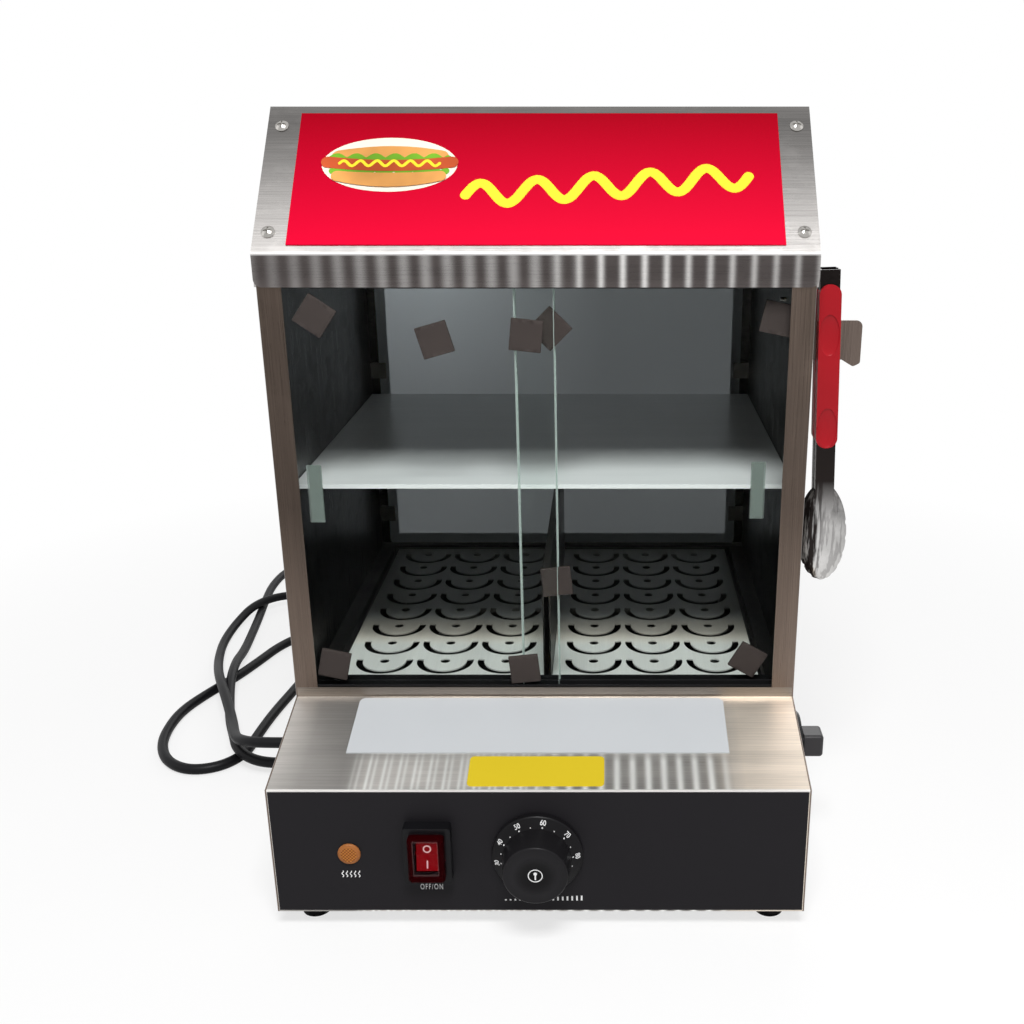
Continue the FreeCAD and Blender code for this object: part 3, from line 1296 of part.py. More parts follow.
# Drain
def drain_valve():
    """Valve block with an inlet pipe from the tank and an outlet through the bottom pan."""
    x0, x1 = valve_x - S.valve_w / 2, valve_x + S.valve_w / 2
    y0, y1 = drain_y - S.valve_d / 2, drain_y + S.valve_d / 2
    block = box("valve_block", (x0, y0, pipe_z - S.valve_low), (x1, y1, drain_z + S.valve_over))
    inlet_x = valve_x - S.valve_w
    wall_y = well_front - S.sheet_t
    inlet = rod("inlet", "Y", (inlet_x, drain_y, pipe_z), S.pipe_r, wall_y + S.sheet_t - drain_y)
    elbow = rod("inlet_elbow", "X", (inlet_x, drain_y, pipe_z), S.pipe_r, S.valve_w)
    knee = doc.addObject("Part::Sphere", "inlet_knee")
    bind(knee, Radius=S.pipe_r)
    place(knee, inlet_x, drain_y, pipe_z)
    outlet = rod("outlet", "Z", (valve_x, drain_y, S.pipe_floor), S.pipe_r, pipe_z - S.pipe_floor)
    bore_r = S.pipe_r - S.pipe_t
    bores = [rod("inlet_bore", "Y", (inlet_x, drain_y, pipe_z), bore_r,
                 wall_y + S.sheet_t + S.overrun - drain_y),
             rod("outlet_bore", "Z", (valve_x, drain_y, S.pipe_floor - S.overrun), bore_r,
                 pipe_z - S.pipe_floor),
             rod("stem_bore", "X", (valve_x, drain_y, drain_z), S.stem_r + S.fit_gap,
                 S.valve_w / 2 + S.overrun)]
    return cut("drain_valve", fuse("valve_blank", block, inlet, elbow, knee, outlet), *bores)


keep("drain_valve", drain_valve())


def drain_flange():
    """Round plate on the side of the case that the valve's stem passes through."""
    rim = S.drain_flange_r
    profile = [(S.stem_r + S.touch_gap, ZERO), (rim, ZERO), (rim, S.drain_flange_h - S.drain_bevel),
               (rim - S.drain_bevel, S.drain_flange_h), (S.stem_r + S.touch_gap, S.drain_flange_h)]
    return turned("drain_flange", profile, (half, drain_y, drain_z), AXES["X"])


keep("drain_flange", drain_flange())


def drain_knob():
    """Bar knob of the drain valve on its stem."""
    knob_x = half + S.drain_flange_h + S.drain_gap
    wide, tall = S.drain_knob_w / 2, S.drain_knob_h / 2
    bar = plate("drain_bar", "YZ", rectangle(-wide, -tall, wide, tall), S.drain_knob_l,
                (knob_x, drain_y, drain_z))
    bar = round_edges(bar, S.drain_knob_edge, lambda edge: edge.BoundBox.XMax > S.drain_knob_l.value - 1e-6)
    start = valve_x + S.fit_gap
    stem = rod("drain_stem", "X", (start, drain_y, drain_z), S.stem_r, knob_x + S.overrun - start)
    return fuse("drain_knob", bar, stem)


keep("drain_knob", drain_knob())


# Cord
def cord_gland():
    """Gland on the left side: a nut inside, a collar outside and a tapered relief sleeve."""
    left = Rotation(Vector(0, 1, 0), -90)
    relief_start = S.gland_h
    relief_end = S.gland_h + S.relief_l
    profile = [(ZERO, relief_end), (ZERO, -S.gland_in),
               (S.gland_r, -S.gland_in), (S.gland_r, -S.sheet_t), (S.gland_thread_r, -S.sheet_t),
               (S.gland_thread_r, ZERO), (S.gland_r, ZERO), (S.gland_r, S.gland_h / 2),
               (S.gland_thread_r, relief_start), (S.relief_r, relief_start),
               (S.relief_end_r, relief_end)]
    return turned("cord_gland", profile, (-half, gland_y, gland_z), left)


keep("cord_gland", cord_gland())

# Route of the cord: points chosen by hand, in millimetres from the middle of the foot
CORD_POINTS = [
    (-206, -30, 38), (-226, -30, 38), (-242, -22, 34.5), (-256, -5, 28), (-269, 30, 21.6),
    (-285, 66, 21.6), (-301, 100, 21.6), (-317, 138, 14), (-331, 180, 7), (-340, 222, 4.6),
    (-340, 262, 6), (-330, 297, 13), (-306, 322, 13), (-270, 336, 7), (-226, 344, 4.5),
    (-188, 364, 4.5), (-170, 402, 4.5), (-186, 440, 4.5), (-224, 460, 4.5), (-270, 462, 4.5),
    (-308, 444, 4.5), (-328, 410, 4.5), (-332, 370, 4.5), (-328, 328, 4.5), (-322, 284, 4.5),
    (-317, 240, 4.5), (-312, 198, 6), (-308, 160, 13), (-301, 122, 13), (-291, 86, 8),
    (-280, 54, 9), (-268, 26, 12.9), (-258, 2, 12.9), (-239, -13, 11), (-214, -12, 8.5),
    (-197, 6, 6), (-194, 32, 4.6), (-200, 70, 4.4), (-206, 118, 4.4), (-204, 168, 4.4),
    (-201, 206, 4.4), (-214, 232, 4.4), (-240, 244, 4.4), (-266, 236, 4.4), (-282, 212, 4.4),
    (-292, 180, 4.4), (-304, 146, 4.4), (-320, 114, 4.4), (-332, 82, 4.4), (-333, 50, 4.4),
    (-328, 22, 4.4), (-314, -3, 4.4), (-292, -16, 4.4), (-268, -10, 4.4), (-254, 10, 4.4),
    (-253, 40, 4.4), (-250, 78, 4.4), (-243, 122, 4.4), (-236, 168, 5.5), (-230, 212, 13),
    (-224, 262, 13), (-208, 296, 7), (-178, 312, 5.5), (-142, 307, 11), (-106, 292, 11),
]
ARC_SHARE = 0.45


def cord_path(points):
    """Straight runs joined by arcs as large as the runs allow; prints the smallest radius."""
    edges, radii, start = [], [], points[0]
    for before, here, after in zip(points, points[1:], points[2:]):
        come, leave = here - before, after - here
        reach = ARC_SHARE * min(come.Length, leave.Length)
        turn = come.getAngle(leave)
        radii.append(reach / math.tan(turn / 2))
        come.normalize()
        leave.normalize()
        first, last = here - come * reach, here + leave * reach
        to_middle = (leave - come).normalize()
        middle_gap = radii[-1] / math.cos(turn / 2) - radii[-1]
        middle = here + to_middle * middle_gap
        edges.append(Part.LineSegment(start, first).toShape())
        edges.append(Part.Arc(first, middle, last).toShape())
        start = last
    edges.append(Part.LineSegment(start, points[-1]).toShape())
    print("cord radii, smallest first:", [round(radius, 1) for radius in sorted(radii)][:6])
    return Part.Wire(edges)


def power_cord():
    """The free lead, a round tube from the gland's sleeve to the plug's neck."""
    points = [Vector(*point) for point in CORD_POINTS]
    path = cord_path(points)
    heading = (points[1] - points[0]).normalize()
    ring = Part.Wire(Part.makeCircle(S.cord_r.value, points[0], heading))
    tube = path.makePipeShell([ring], True, False)
    expected = math.pi * S.cord_r.value ** 2 * path.Length
    print("cord length", round(path.Length, 1), "volume over section times length",
          round(tube.Volume / expected, 5))
    obj = doc.addObject("Part::Feature", "power_cord")
    obj.Shape = tube
    obj.Placement = Placement(Vector(mid_x.value, mid_y.value, 0), Rotation())
    return obj


keep("power_cord", power_cord())


def power_plug():
    """Moulded plug with two blades and an earth pin, lying in line with the cord's end."""
    end, before = Vector(*CORD_POINTS[-1]), Vector(*CORD_POINTS[-2])
    heading = end - before
    wide, tall = S.plug_w / 2, S.plug_h / 2
    long = S.plug_neck_l + S.plug_l
    neck = Part.makeCone(S.plug_neck_end_r.value, S.plug_neck_r.value, S.plug_neck_l.value,
                         Vector(), Vector(1, 0, 0))
    body = Part.makeBox(S.plug_l.value, S.plug_w.value, S.plug_h.value,
                        Vector(S.plug_neck_l.value, -wide.value, -tall.value))
    body = body.makeFillet(S.plug_corner.value, body.Edges)
    pins = []
    for side in (-1, 1):
        low = Vector(long.value - S.overrun.value, S.blade_gap.value * side - S.blade_w.value / 2,
                     -S.blade_h.value / 2)
        pins.append(Part.makeBox(S.blade_l.value, S.blade_w.value, S.blade_h.value, low))
    pins.append(Part.makeCylinder(S.earth_r.value, S.blade_l.value,
                                  Vector(long.value - S.overrun.value, 0, S.blade_gap.value),
                                  Vector(1, 0, 0)))
    obj = doc.addObject("Part::Feature", "power_plug")
    obj.Shape = neck.fuse([body] + pins).removeSplitter()
    level = Vector(heading.x, heading.y, 0)
    spin = Rotation(Vector(1, 0, 0), level)
    obj.Placement = Placement(end + Vector(mid_x.value, mid_y.value, 0), spin)
    return obj


keep("power_plug", power_plug())


def check_document():
    """Stop if any object failed or any sub-part's shape is empty or not valid."""
    doc.recompute()
    failed = [item.Name for item in doc.Objects if {"Invalid", "Error"} & set(item.State)]
    if failed:
        raise RuntimeError(f"failed objects: {failed}")
    for node in NODES:
        if node.Shape.isNull() or not node.Shape.isValid():
            raise RuntimeError(f"{node.Label} has no valid shape")


def write_parts():
    """Write each sub-part to its own file."""
    os.makedirs("parts", exist_ok=True)
    for node in NODES:
        node.Shape.exportStep(f"parts/{node.Label}.step")
        print(node.Label, len(node.Shape.Solids), "solids", round(node.Shape.Volume))


check_document()
write_parts()
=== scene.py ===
import json
import math
import random

import bmesh
import bpy
from mathutils import Matrix, Vector


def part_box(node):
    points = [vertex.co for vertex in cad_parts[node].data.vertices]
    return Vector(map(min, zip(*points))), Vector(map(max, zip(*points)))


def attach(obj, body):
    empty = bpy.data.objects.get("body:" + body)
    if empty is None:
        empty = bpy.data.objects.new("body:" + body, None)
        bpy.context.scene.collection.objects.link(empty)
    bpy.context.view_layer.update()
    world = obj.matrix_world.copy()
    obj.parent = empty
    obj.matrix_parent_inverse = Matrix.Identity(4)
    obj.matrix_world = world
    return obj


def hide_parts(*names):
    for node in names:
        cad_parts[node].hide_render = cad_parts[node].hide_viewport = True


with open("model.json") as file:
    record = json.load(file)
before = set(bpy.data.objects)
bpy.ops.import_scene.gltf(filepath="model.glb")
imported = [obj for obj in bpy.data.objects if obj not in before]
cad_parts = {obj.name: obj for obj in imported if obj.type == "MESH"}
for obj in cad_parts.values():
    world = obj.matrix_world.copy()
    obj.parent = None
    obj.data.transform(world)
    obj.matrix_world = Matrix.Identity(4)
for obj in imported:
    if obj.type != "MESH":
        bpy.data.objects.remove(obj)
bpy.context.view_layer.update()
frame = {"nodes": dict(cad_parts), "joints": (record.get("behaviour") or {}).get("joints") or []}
SCENE = bpy.context.scene
MM = 0.001
rng = random.Random(7)

# The middle of the case's foot stands beside the frame's origin by these two distances
SIDE_LOW, SIDE_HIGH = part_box("side_panel_left")[0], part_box("side_panel_right")[1]
CASE_X = (SIDE_LOW.x + SIDE_HIGH.x) / 2
CASE_Y = (SIDE_LOW.y + SIDE_HIGH.y) / 2
HALF = (SIDE_HIGH.x - SIDE_LOW.x) / 2


def here(x, y, z):
    """A point given in millimetres from the middle of the case's foot."""
    return Vector((CASE_X + x * MM, CASE_Y + y * MM, z * MM))


# Camera, at the photograph's own viewing angle
FRAME_PX = 1024
FOCAL_PX = 1143
CENTRE_X_PX = 608.6
SENSOR = 36
CAMERA_AT = (43.7, -813.5, 496)
CAMERA_PITCH = 18.9


def add_camera():
    """The photograph's camera, looking straight at the case and down."""
    data = bpy.data.cameras.new("camera")
    data.sensor_width = SENSOR
    data.lens = FOCAL_PX / FRAME_PX * SENSOR
    data.shift_x = -(CENTRE_X_PX - FRAME_PX / 2) / FRAME_PX
    camera = bpy.data.objects.new("camera", data)
    camera.location = here(*CAMERA_AT)
    camera.rotation_euler = (math.radians(90 - CAMERA_PITCH), 0, 0)
    SCENE.collection.objects.link(camera)
    SCENE.camera = camera


add_camera()

# Power cord, on the route of its tube
CORD_D = 8.5 * MM
CORD_POINTS = [
    (-206, -30, 38), (-226, -30, 38), (-242, -22, 34.5), (-256, -5, 28), (-269, 30, 21.6),
    (-285, 66, 21.6), (-301, 100, 21.6), (-317, 138, 14), (-331, 180, 7), (-340, 222, 4.6),
    (-340, 262, 6), (-330, 297, 13), (-306, 322, 13), (-270, 336, 7), (-226, 344, 4.5),
    (-188, 364, 4.5), (-170, 402, 4.5), (-186, 440, 4.5), (-224, 460, 4.5), (-270, 462, 4.5),
    (-308, 444, 4.5), (-328, 410, 4.5), (-332, 370, 4.5), (-328, 328, 4.5), (-322, 284, 4.5),
    (-317, 240, 4.5), (-312, 198, 6), (-308, 160, 13), (-301, 122, 13), (-291, 86, 8),
    (-280, 54, 9), (-268, 26, 12.9), (-258, 2, 12.9), (-239, -13, 11), (-214, -12, 8.5),
    (-197, 6, 6), (-194, 32, 4.6), (-200, 70, 4.4), (-206, 118, 4.4), (-204, 168, 4.4),
    (-201, 206, 4.4), (-214, 232, 4.4), (-240, 244, 4.4), (-266, 236, 4.4), (-282, 212, 4.4),
    (-292, 180, 4.4), (-304, 146, 4.4), (-320, 114, 4.4), (-332, 82, 4.4), (-333, 50, 4.4),
    (-328, 22, 4.4), (-314, -3, 4.4), (-292, -16, 4.4), (-268, -10, 4.4), (-254, 10, 4.4),
    (-253, 40, 4.4), (-250, 78, 4.4), (-243, 122, 4.4), (-236, 168, 5.5), (-230, 212, 13),
    (-224, 262, 13), (-208, 296, 7), (-178, 312, 5.5), (-142, 307, 11), (-106, 292, 11),
]


def add_cord():
    """The free lead as one smooth round curve, its thickness in its points so that its box is tight."""
    data = bpy.data.curves.new("cord", "CURVE")
    data.dimensions = "3D"
    data.bevel_depth = 1.0
    data.bevel_resolution = 6
    data.resolution_u = 8
    data.use_fill_caps = True
    line = data.splines.new("NURBS")
    line.points.add(len(CORD_POINTS) - 1)
    for point, spot in zip(line.points, CORD_POINTS):
        point.co = (*here(*spot), 1)
        point.radius = CORD_D / 2
    line.order_u = 3
    line.use_endpoint_u = True
    cord = bpy.data.objects.new("cord", data)
    SCENE.collection.objects.link(cord)
    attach(cord, "cabinet")
    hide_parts("power_cord")
    return cord


cord = add_cord()


# Material building
COLOUR_A, COLOUR_B, COLOUR_OUT = 6, 7, 2


class Graph:
    """Short ways to add and link nodes of one material."""

    def __init__(self, name):
        self.material = bpy.data.materials.new(name)
        self.material.use_nodes = True
        self.tree = self.material.node_tree
        self.shader = self.tree.nodes["Principled BSDF"]

    def add(self, kind, **settings):
        """A new node with its settings."""
        node = self.tree.nodes.new(kind)
        for key, value in settings.items():
            setattr(node, key, value)
        return node

    def feed(self, socket, value):
        """Link a socket to an output, or set it to a plain value."""
        if hasattr(value, "links"):
            self.tree.links.new(value, socket)
        else:
            socket.default_value = value

    def set(self, **values):
        """Set or link inputs of the main shader, named with underscores for spaces."""
        for key, value in values.items():
            if isinstance(value, tuple) and len(value) == 3:
                value = (*value, 1)
            self.feed(self.shader.inputs[key.replace("_", " ")], value)

    def place(self, scale=(1, 1, 1), turn=(0, 0, 0)):
        """Object coordinates in metres, stretched."""
        coords = self.add("ShaderNodeTexCoord")
        mapping = self.add("ShaderNodeMapping")
        mapping.inputs["Scale"].default_value = scale
        mapping.inputs["Rotation"].default_value = [math.radians(angle) for angle in turn]
        self.tree.links.new(coords.outputs["Object"], mapping.inputs["Vector"])
        return mapping.outputs["Vector"]

    def noise(self, vector, scale, detail=3, rough=0.5):
        """Soft noise between zero and one."""
        node = self.add("ShaderNodeTexNoise")
        self.feed(node.inputs["Vector"], vector)
        self.feed(node.inputs["Scale"], scale)
        self.feed(node.inputs["Detail"], detail)
        self.feed(node.inputs["Roughness"], rough)
        return node.outputs["Fac"]

    def span(self, value, low, high, to_low, to_high):
        """Carry a range of values over to another, held at its ends."""
        node = self.add("ShaderNodeMapRange")
        for socket, number in zip(node.inputs, (value, low, high, to_low, to_high)):
            self.feed(socket, number)
        return node.outputs["Result"]

    def maths(self, operation, first, second=0.0):
        """One operation on one or two values."""
        node = self.add("ShaderNodeMath", operation=operation)
        self.feed(node.inputs[0], first)
        self.feed(node.inputs[1], second)
        return node.outputs["Value"]

    def times(self, *values):
        """Multiply values together."""
        total = values[0]
        for value in values[1:]:
            total = self.maths("MULTIPLY", total, value)
        return total

    def plus(self, *values):
        """Add values together."""
        total = values[0]
        for value in values[1:]:
            total = self.maths("ADD", total, value)
        return total

    def blend(self, share, first, second, kind="MIX"):
        """Mix two colours."""
        node = self.add("ShaderNodeMix", data_type="RGBA", blend_type=kind)
        colours = [(*item, 1) if isinstance(item, tuple) else item for item in (first, second)]
        self.feed(node.inputs["Factor"], share)
        self.feed(node.inputs[COLOUR_A], colours[0])
        self.feed(node.inputs[COLOUR_B], colours[1])
        return node.outputs[COLOUR_OUT]

    def tinted(self, colour, tint):
        """A colour times another."""
        return self.blend(1.0, colour, tint, "MULTIPLY")

    def toned(self, colour, value):
        """A colour times a value."""
        return self.tinted(colour, self.add_grey(value))

    def add_grey(self, value):
        """A value as a colour."""
        node = self.add("ShaderNodeCombineColor")
        for socket in node.inputs:
            self.feed(socket, value)
        return node.outputs["Color"]

    def axis(self, name):
        """One object coordinate in millimetres, from the middle of the case's foot."""
        coords = self.add("ShaderNodeTexCoord")
        split = self.add("ShaderNodeSeparateXYZ")
        self.tree.links.new(coords.outputs["Object"], split.inputs["Vector"])
        start = {"X": CASE_X, "Y": CASE_Y, "Z": 0.0}[name]
        return self.maths("DIVIDE", self.maths("SUBTRACT", split.outputs[name], start), MM)

    def beside(self, name, middle):
        """Distance along an axis from a place on it, with its sign."""
        return self.maths("SUBTRACT", self.axis(name), middle)

    def reach(self, first, second):
        """Length of two offsets at right angles."""
        return self.maths("SQRT", self.plus(self.times(first, first), self.times(second, second)))

    def within(self, name, low, high, soft=0.3):
        """One between two places on an axis and zero outside, with soft edges."""
        value = self.axis(name)
        return self.times(self.span(value, low - soft, low + soft, 0, 1),
                          self.span(value, high - soft, high + soft, 1, 0))

    def ramp(self, value, *stops):
        """A value that follows places and heights given in pairs."""
        total = stops[0][1]
        for (low, first), (high, second) in zip(stops, stops[1:]):
            total = self.plus(self.span(value, low, high, 0, second - first), total)
        return total

    def lines(self, name, start, step, sharp):
        """Even soft lines along an axis, one at the start and one at each step."""
        turn = self.times(self.beside(name, start), 2 * math.pi / step)
        level = self.plus(self.times(self.maths("COSINE", turn), 0.5), 0.5)
        return self.maths("POWER", level, sharp)

    def bump(self, height, strength, distance):
        """Surface relief from a value."""
        node = self.add("ShaderNodeBump")
        node.inputs["Strength"].default_value = strength
        node.inputs["Distance"].default_value = distance
        self.tree.links.new(height, node.inputs["Height"])
        self.tree.links.new(node.outputs["Normal"], self.shader.inputs["Normal"])

    def mix_in(self, share, other):
        """Give a share of the surface to another shader."""
        mix = self.add("ShaderNodeMixShader")
        self.feed(mix.inputs["Fac"], share)
        self.feed(mix.inputs[1], self.shader.outputs["BSDF"])
        self.feed(mix.inputs[2], other)
        self.feed(self.tree.nodes["Material Output"].inputs["Surface"], mix.outputs["Shader"])

    def clear_to_lamps(self, tint):
        """Let lamp light and bounced light straight through, as thin glass does."""
        path = self.add("ShaderNodeLightPath")
        clear = self.add("ShaderNodeBsdfTransparent")
        clear.inputs["Color"].default_value = (*tint, 1)
        share = self.maths("MAXIMUM", path.outputs["Is Shadow Ray"], path.outputs["Is Diffuse Ray"])
        self.mix_in(share, clear.outputs["BSDF"])


def shade(colour, factor):
    """A colour made lighter or darker."""
    return tuple(min(part * factor, 1) for part in colour)


# Brushed steel: its grain's stretch, darkest and palest tone, anisotropy and relief
GRAIN_STRETCH = {"X": (2, 260, 260), "Y": (260, 2, 260), "Z": (260, 260, 2)}
STEEL_DARK, STEEL_PALE = 0.66, 1.34
STEEL_ANISOTROPY = 0.55
STEEL_BUMP = (0.12, 0.00006)


def brushed(name, colour, grain, rough, spread=0.12, streaks=0.14, blotch=0.05, paint=None,
            metallic=1.0, smear=0.1):
    """Brushed steel: fine grain lines, long bands of tone, faint clouds and smudges."""
    graph = Graph(name)
    lines = graph.noise(graph.place(GRAIN_STRETCH[grain]), 9, 4, 0.6)
    bands = graph.noise(graph.place([part ** 0.55 for part in GRAIN_STRETCH[grain]]), 3.4, 2)
    cloud = graph.noise(graph.place(), 9, 3, 0.55)
    smudge = graph.span(graph.noise(graph.place((1, 1, 1.6)), 31, 5, 0.65), 0.52, 0.72, 0, 1)
    tone = graph.plus(graph.span(lines, 0.3, 0.7, -streaks, streaks),
                      graph.span(cloud, 0.3, 0.7, -blotch, blotch),
                      graph.span(bands, 0.35, 0.65, -streaks / 2, streaks / 2))
    base = graph.blend(graph.span(tone, -0.3, 0.3, 0, 1), shade(colour, STEEL_DARK),
                       shade(colour, STEEL_PALE))
    if paint is not None:
        base = paint(graph, base)
    roughness = graph.plus(graph.span(lines, 0.3, 0.7, rough - spread / 2, rough + spread / 2),
                           graph.times(smudge, smear))
    tangent = graph.add("ShaderNodeTangent", direction_type="RADIAL", axis="X")
    graph.set(Base_Color=base, Metallic=metallic, Roughness=roughness, Anisotropic=STEEL_ANISOTROPY,
              Anisotropic_Rotation=0.25 if grain == "X" else 0.0, Tangent=tangent.outputs["Tangent"])
    graph.bump(lines, *STEEL_BUMP)
    return graph.material


def cloudy(graph, cloud, low, colour, depth):
    """A colour that grows a little lighter and darker with a cloud of noise."""
    return graph.blend(graph.span(cloud, low, 0.7, 0, 1), shade(colour, 1 - depth),
                       shade(colour, 1 + depth))


def plain_metal(name, colour, rough, scale=60, depth=0.1, paint=None):
    """Turned or pressed metal with slight tone changes and fine wear."""
    graph = Graph(name)
    cloud = graph.noise(graph.place(), scale, 4, 0.6)
    fine = graph.noise(graph.place(), scale * 14, 2)
    base = cloudy(graph, cloud, 0.35, colour, depth)
    if paint is not None:
        base = paint(graph, base)
    graph.set(Base_Color=base, Metallic=1.0,
              Roughness=graph.span(fine, 0.3, 0.7, rough * 0.75, rough * 1.35))
    graph.bump(fine, 0.08, 0.00005)
    return graph.material


def plastic(name, colour, rough, grain, bump, depth=0.12, level=0.5, paint=None):
    """Moulded plastic, rubber or film with a fine surface texture and uneven gloss."""
    graph = Graph(name)
    cloud = graph.noise(graph.place(), 24, 3)
    fine = graph.noise(graph.place(), grain, 3, 0.6)
    base = cloudy(graph, cloud, 0.3, colour, depth)
    if paint is not None:
        base = paint(graph, base)
    graph.set(Base_Color=base, Roughness=graph.span(cloud, 0.3, 0.7, rough * 0.92, rough * 1.08),
              Specular_IOR_Level=level)
    graph.bump(fine, bump, 0.0001)
    return graph.material


THIN_GLASS_IOR = 1.05


def pane(name, colour, rough, clear=1.0, smear=0.05, paint=None, lamp_tint=None):
    """Thin glass with faint wipe marks; the paint gives its colour and how clear it is."""
    graph = Graph(name)
    wipes = graph.noise(graph.place((1, 1, 3), (0, 24, 0)), 26, 4, 0.6)
    tint = graph.noise(graph.place(), 12, 2)
    base = graph.blend(graph.span(tint, 0.3, 0.7, 0, 1), shade(colour, 0.97), colour)
    if paint is not None:
        base, clear = paint(graph, base)
    graph.set(Base_Color=base, Transmission_Weight=clear, IOR=THIN_GLASS_IOR,
              Roughness=graph.span(wipes, 0.5, 0.75, rough, rough + smear))
    if lamp_tint is not None:
        graph.clear_to_lamps(lamp_tint)
    return graph.material


# Tones of the pieces, at places in millimetres from the middle of the case's foot; most of them are
# painted light, shade and reflections.
# The stops of a ramp are pairs of a place and the tone there.
HALF_MM = HALF / MM
BACK_FACE = (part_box("back_panel")[1].y - CASE_Y) / MM
POST_BACK = (SIDE_LOW.y - CASE_Y) / MM + 85.3
SHELF_Z = 263.8
OUTER_TINT = (2.9, 3.6, 4.2)
# Painted reflections on the front posts, paler at the foot; painted shade on the inner faces, nearly
# black below the shelf
POST_SHEEN_TONES = ((130, 1.45), (190, 1.2), (260, 0.8), (330, 0.92), (400, 1.0))
INNER_SHADE_STEEL = (0.11, 0.105, 0.098)
INNER_SHADE_TONES = ((150, 0.02), (SHELF_Z - 20, 0.03), (SHELF_Z, 0.36), (380, 0.34))


def case_paint(graph, base):
    """Outer sides paler; painted light makes front posts paler at the foot and inner faces nearly
    black.
    """
    away = graph.maths("ABSOLUTE", graph.axis("X"))
    height = graph.axis("Z")
    # Painted reflections: posts paler at the foot and towards the right
    tone = graph.plus(graph.ramp(height, *POST_SHEEN_TONES),
                      graph.span(graph.axis("X"), -150, 150, -0.12, 0.16))
    outer = graph.span(away, HALF_MM - 0.3, HALF_MM - 0.1, 0, 1)
    sheet = graph.blend(outer, graph.toned(base, tone), graph.tinted(base, OUTER_TINT))
    # Painted light: inner faces above the shelf a little lighter towards the front
    upper = graph.times(graph.span(graph.axis("Y"), -100, 120, 0.14, -0.06),
                        graph.span(height, SHELF_Z - 10, SHELF_Z + 40, 0, 1))
    # Painted shade: the inner faces nearly black
    dark = graph.toned(INNER_SHADE_STEEL, graph.plus(graph.ramp(height, *INNER_SHADE_TONES), upper))
    inner = graph.times(graph.span(away, HALF_MM - 0.7, HALF_MM - 0.5, 1, 0),
                        graph.span(graph.axis("Y"), POST_BACK - 0.1, POST_BACK + 0.1, 0, 1))
    return graph.blend(inner, sheet, dark)


# Painted shade on the back panel's inside faces
BACK_INSIDE_SHADE = (0.02, 0.019, 0.018)


def back_paint(graph, base):
    """Nearly black on the faces that look into the cabinet, as painted shade."""
    inside = graph.span(graph.axis("Y"), BACK_FACE - 0.4, BACK_FACE - 0.2, 1, 0)
    return graph.blend(inside, base, BACK_INSIDE_SHADE)


# Painted reflections on the hood: slope tones, a dark lip with bright bars of striped light, and a
# painted highlight on the fold
LIP_TOP, LIP_FRONT, HOOD_TOP = 420.5, -115.2, 504.5
STRIPE_START, STRIPE_STEP = 39.1, 13.2
SLOPE_REFLECTION_TONES = ((LIP_TOP, 1.15), (LIP_TOP + 25, 0.85), (LIP_TOP + 50, 0.48), (HOOD_TOP - 10, 0.28),
               (HOOD_TOP, 0.36))
LIP_REFLECTION_TONES = ((400.5, 1.25), (408, 0.95), (LIP_TOP, 1.05))
SHARP_REFLECTION_BARS = ((20, 0.95), (60, 1.0), (100, 0.7), (160, 0.45))
SOFT_REFLECTION_BARS = ((-160, 0.16), (-90, 0.34), (10, 0.4))
LIP_STEEL, LIP_REFLECTION_BAR = (0.115, 0.1, 0.097), (1.0, 0.98, 0.96)
SLOPE_REFLECTION_BAR, HOOD_FOLD_HIGHLIGHT = (0.7, 0.68, 0.66), (0.93, 0.91, 0.9)


def hood_paint(graph, base):
    """Painted reflections: slope darker to the top, the lip dark with soft bright bars, a bright fold.
    """
    height, place = graph.axis("Z"), graph.axis("X")
    base = graph.toned(base, graph.ramp(height, *SLOPE_REFLECTION_TONES))
    sharp = graph.lines("X", STRIPE_START, STRIPE_STEP, 4.4)
    soft = graph.lines("X", STRIPE_START, STRIPE_STEP, 1.3)
    base = graph.blend(graph.times(graph.span(height, LIP_TOP + 6, LIP_TOP + 1, 0, 0.5), soft), base,
                       SLOPE_REFLECTION_BAR)
    right = graph.span(place, 0, 45, 0, 1)
    left = graph.maths("SUBTRACT", 1.0, right)
    # Painted reflections: bright bars of striped light on the lip
    bars = graph.plus(graph.times(sharp, right, graph.ramp(place, *SHARP_REFLECTION_BARS)),
                      graph.times(soft, left, graph.ramp(place, *SOFT_REFLECTION_BARS)))
    lip = graph.times(graph.span(graph.axis("Y"), LIP_FRONT + 0.2, LIP_FRONT + 0.5, 1, 0),
                      graph.span(height, LIP_TOP - 0.6, LIP_TOP - 0.2, 1, 0))
    lip_base = graph.blend(bars, graph.toned(LIP_STEEL, graph.ramp(height, *LIP_REFLECTION_TONES)), LIP_REFLECTION_BAR)
    base = graph.blend(lip, base, lip_base)
    # Painted highlight along the fold
    fold = graph.times(graph.within("Z", LIP_TOP - 0.9, LIP_TOP + 1.1), 0.85)
    return graph.blend(fold, base, HOOD_FOLD_HIGHLIGHT)


# Painted light on the ledge: tones along it, bright reflection bars along its front and a painted
# highlight on its fold
LEDGE_FRONT, LEDGE_FOOT = -198, 102.5
BOARD_FRONT = -170
LEDGE_SHEEN_TONES = ((-170, 1.05), (-150, 0.72), (-125, 0.6), (-100, 0.85), (110, 1.0), (130, 1.5))
LEDGE_WARM_SHEEN = (1.06, 0.99, 0.9)
LEFT_REFLECTION_BARS, LEFT_STEP, LEFT_SHARP = ((-118, 0.9), (-114.4, 0.7)), 9.72, 8
RIGHT_REFLECTION_BAR, RIGHT_STEP, RIGHT_SHARP = 49.0, 9.92, 2.0
LEDGE_REFLECTION_BAR, LEDGE_FOLD_HIGHLIGHT = (1.0, 1.0, 0.97), (0.93, 0.91, 0.88)


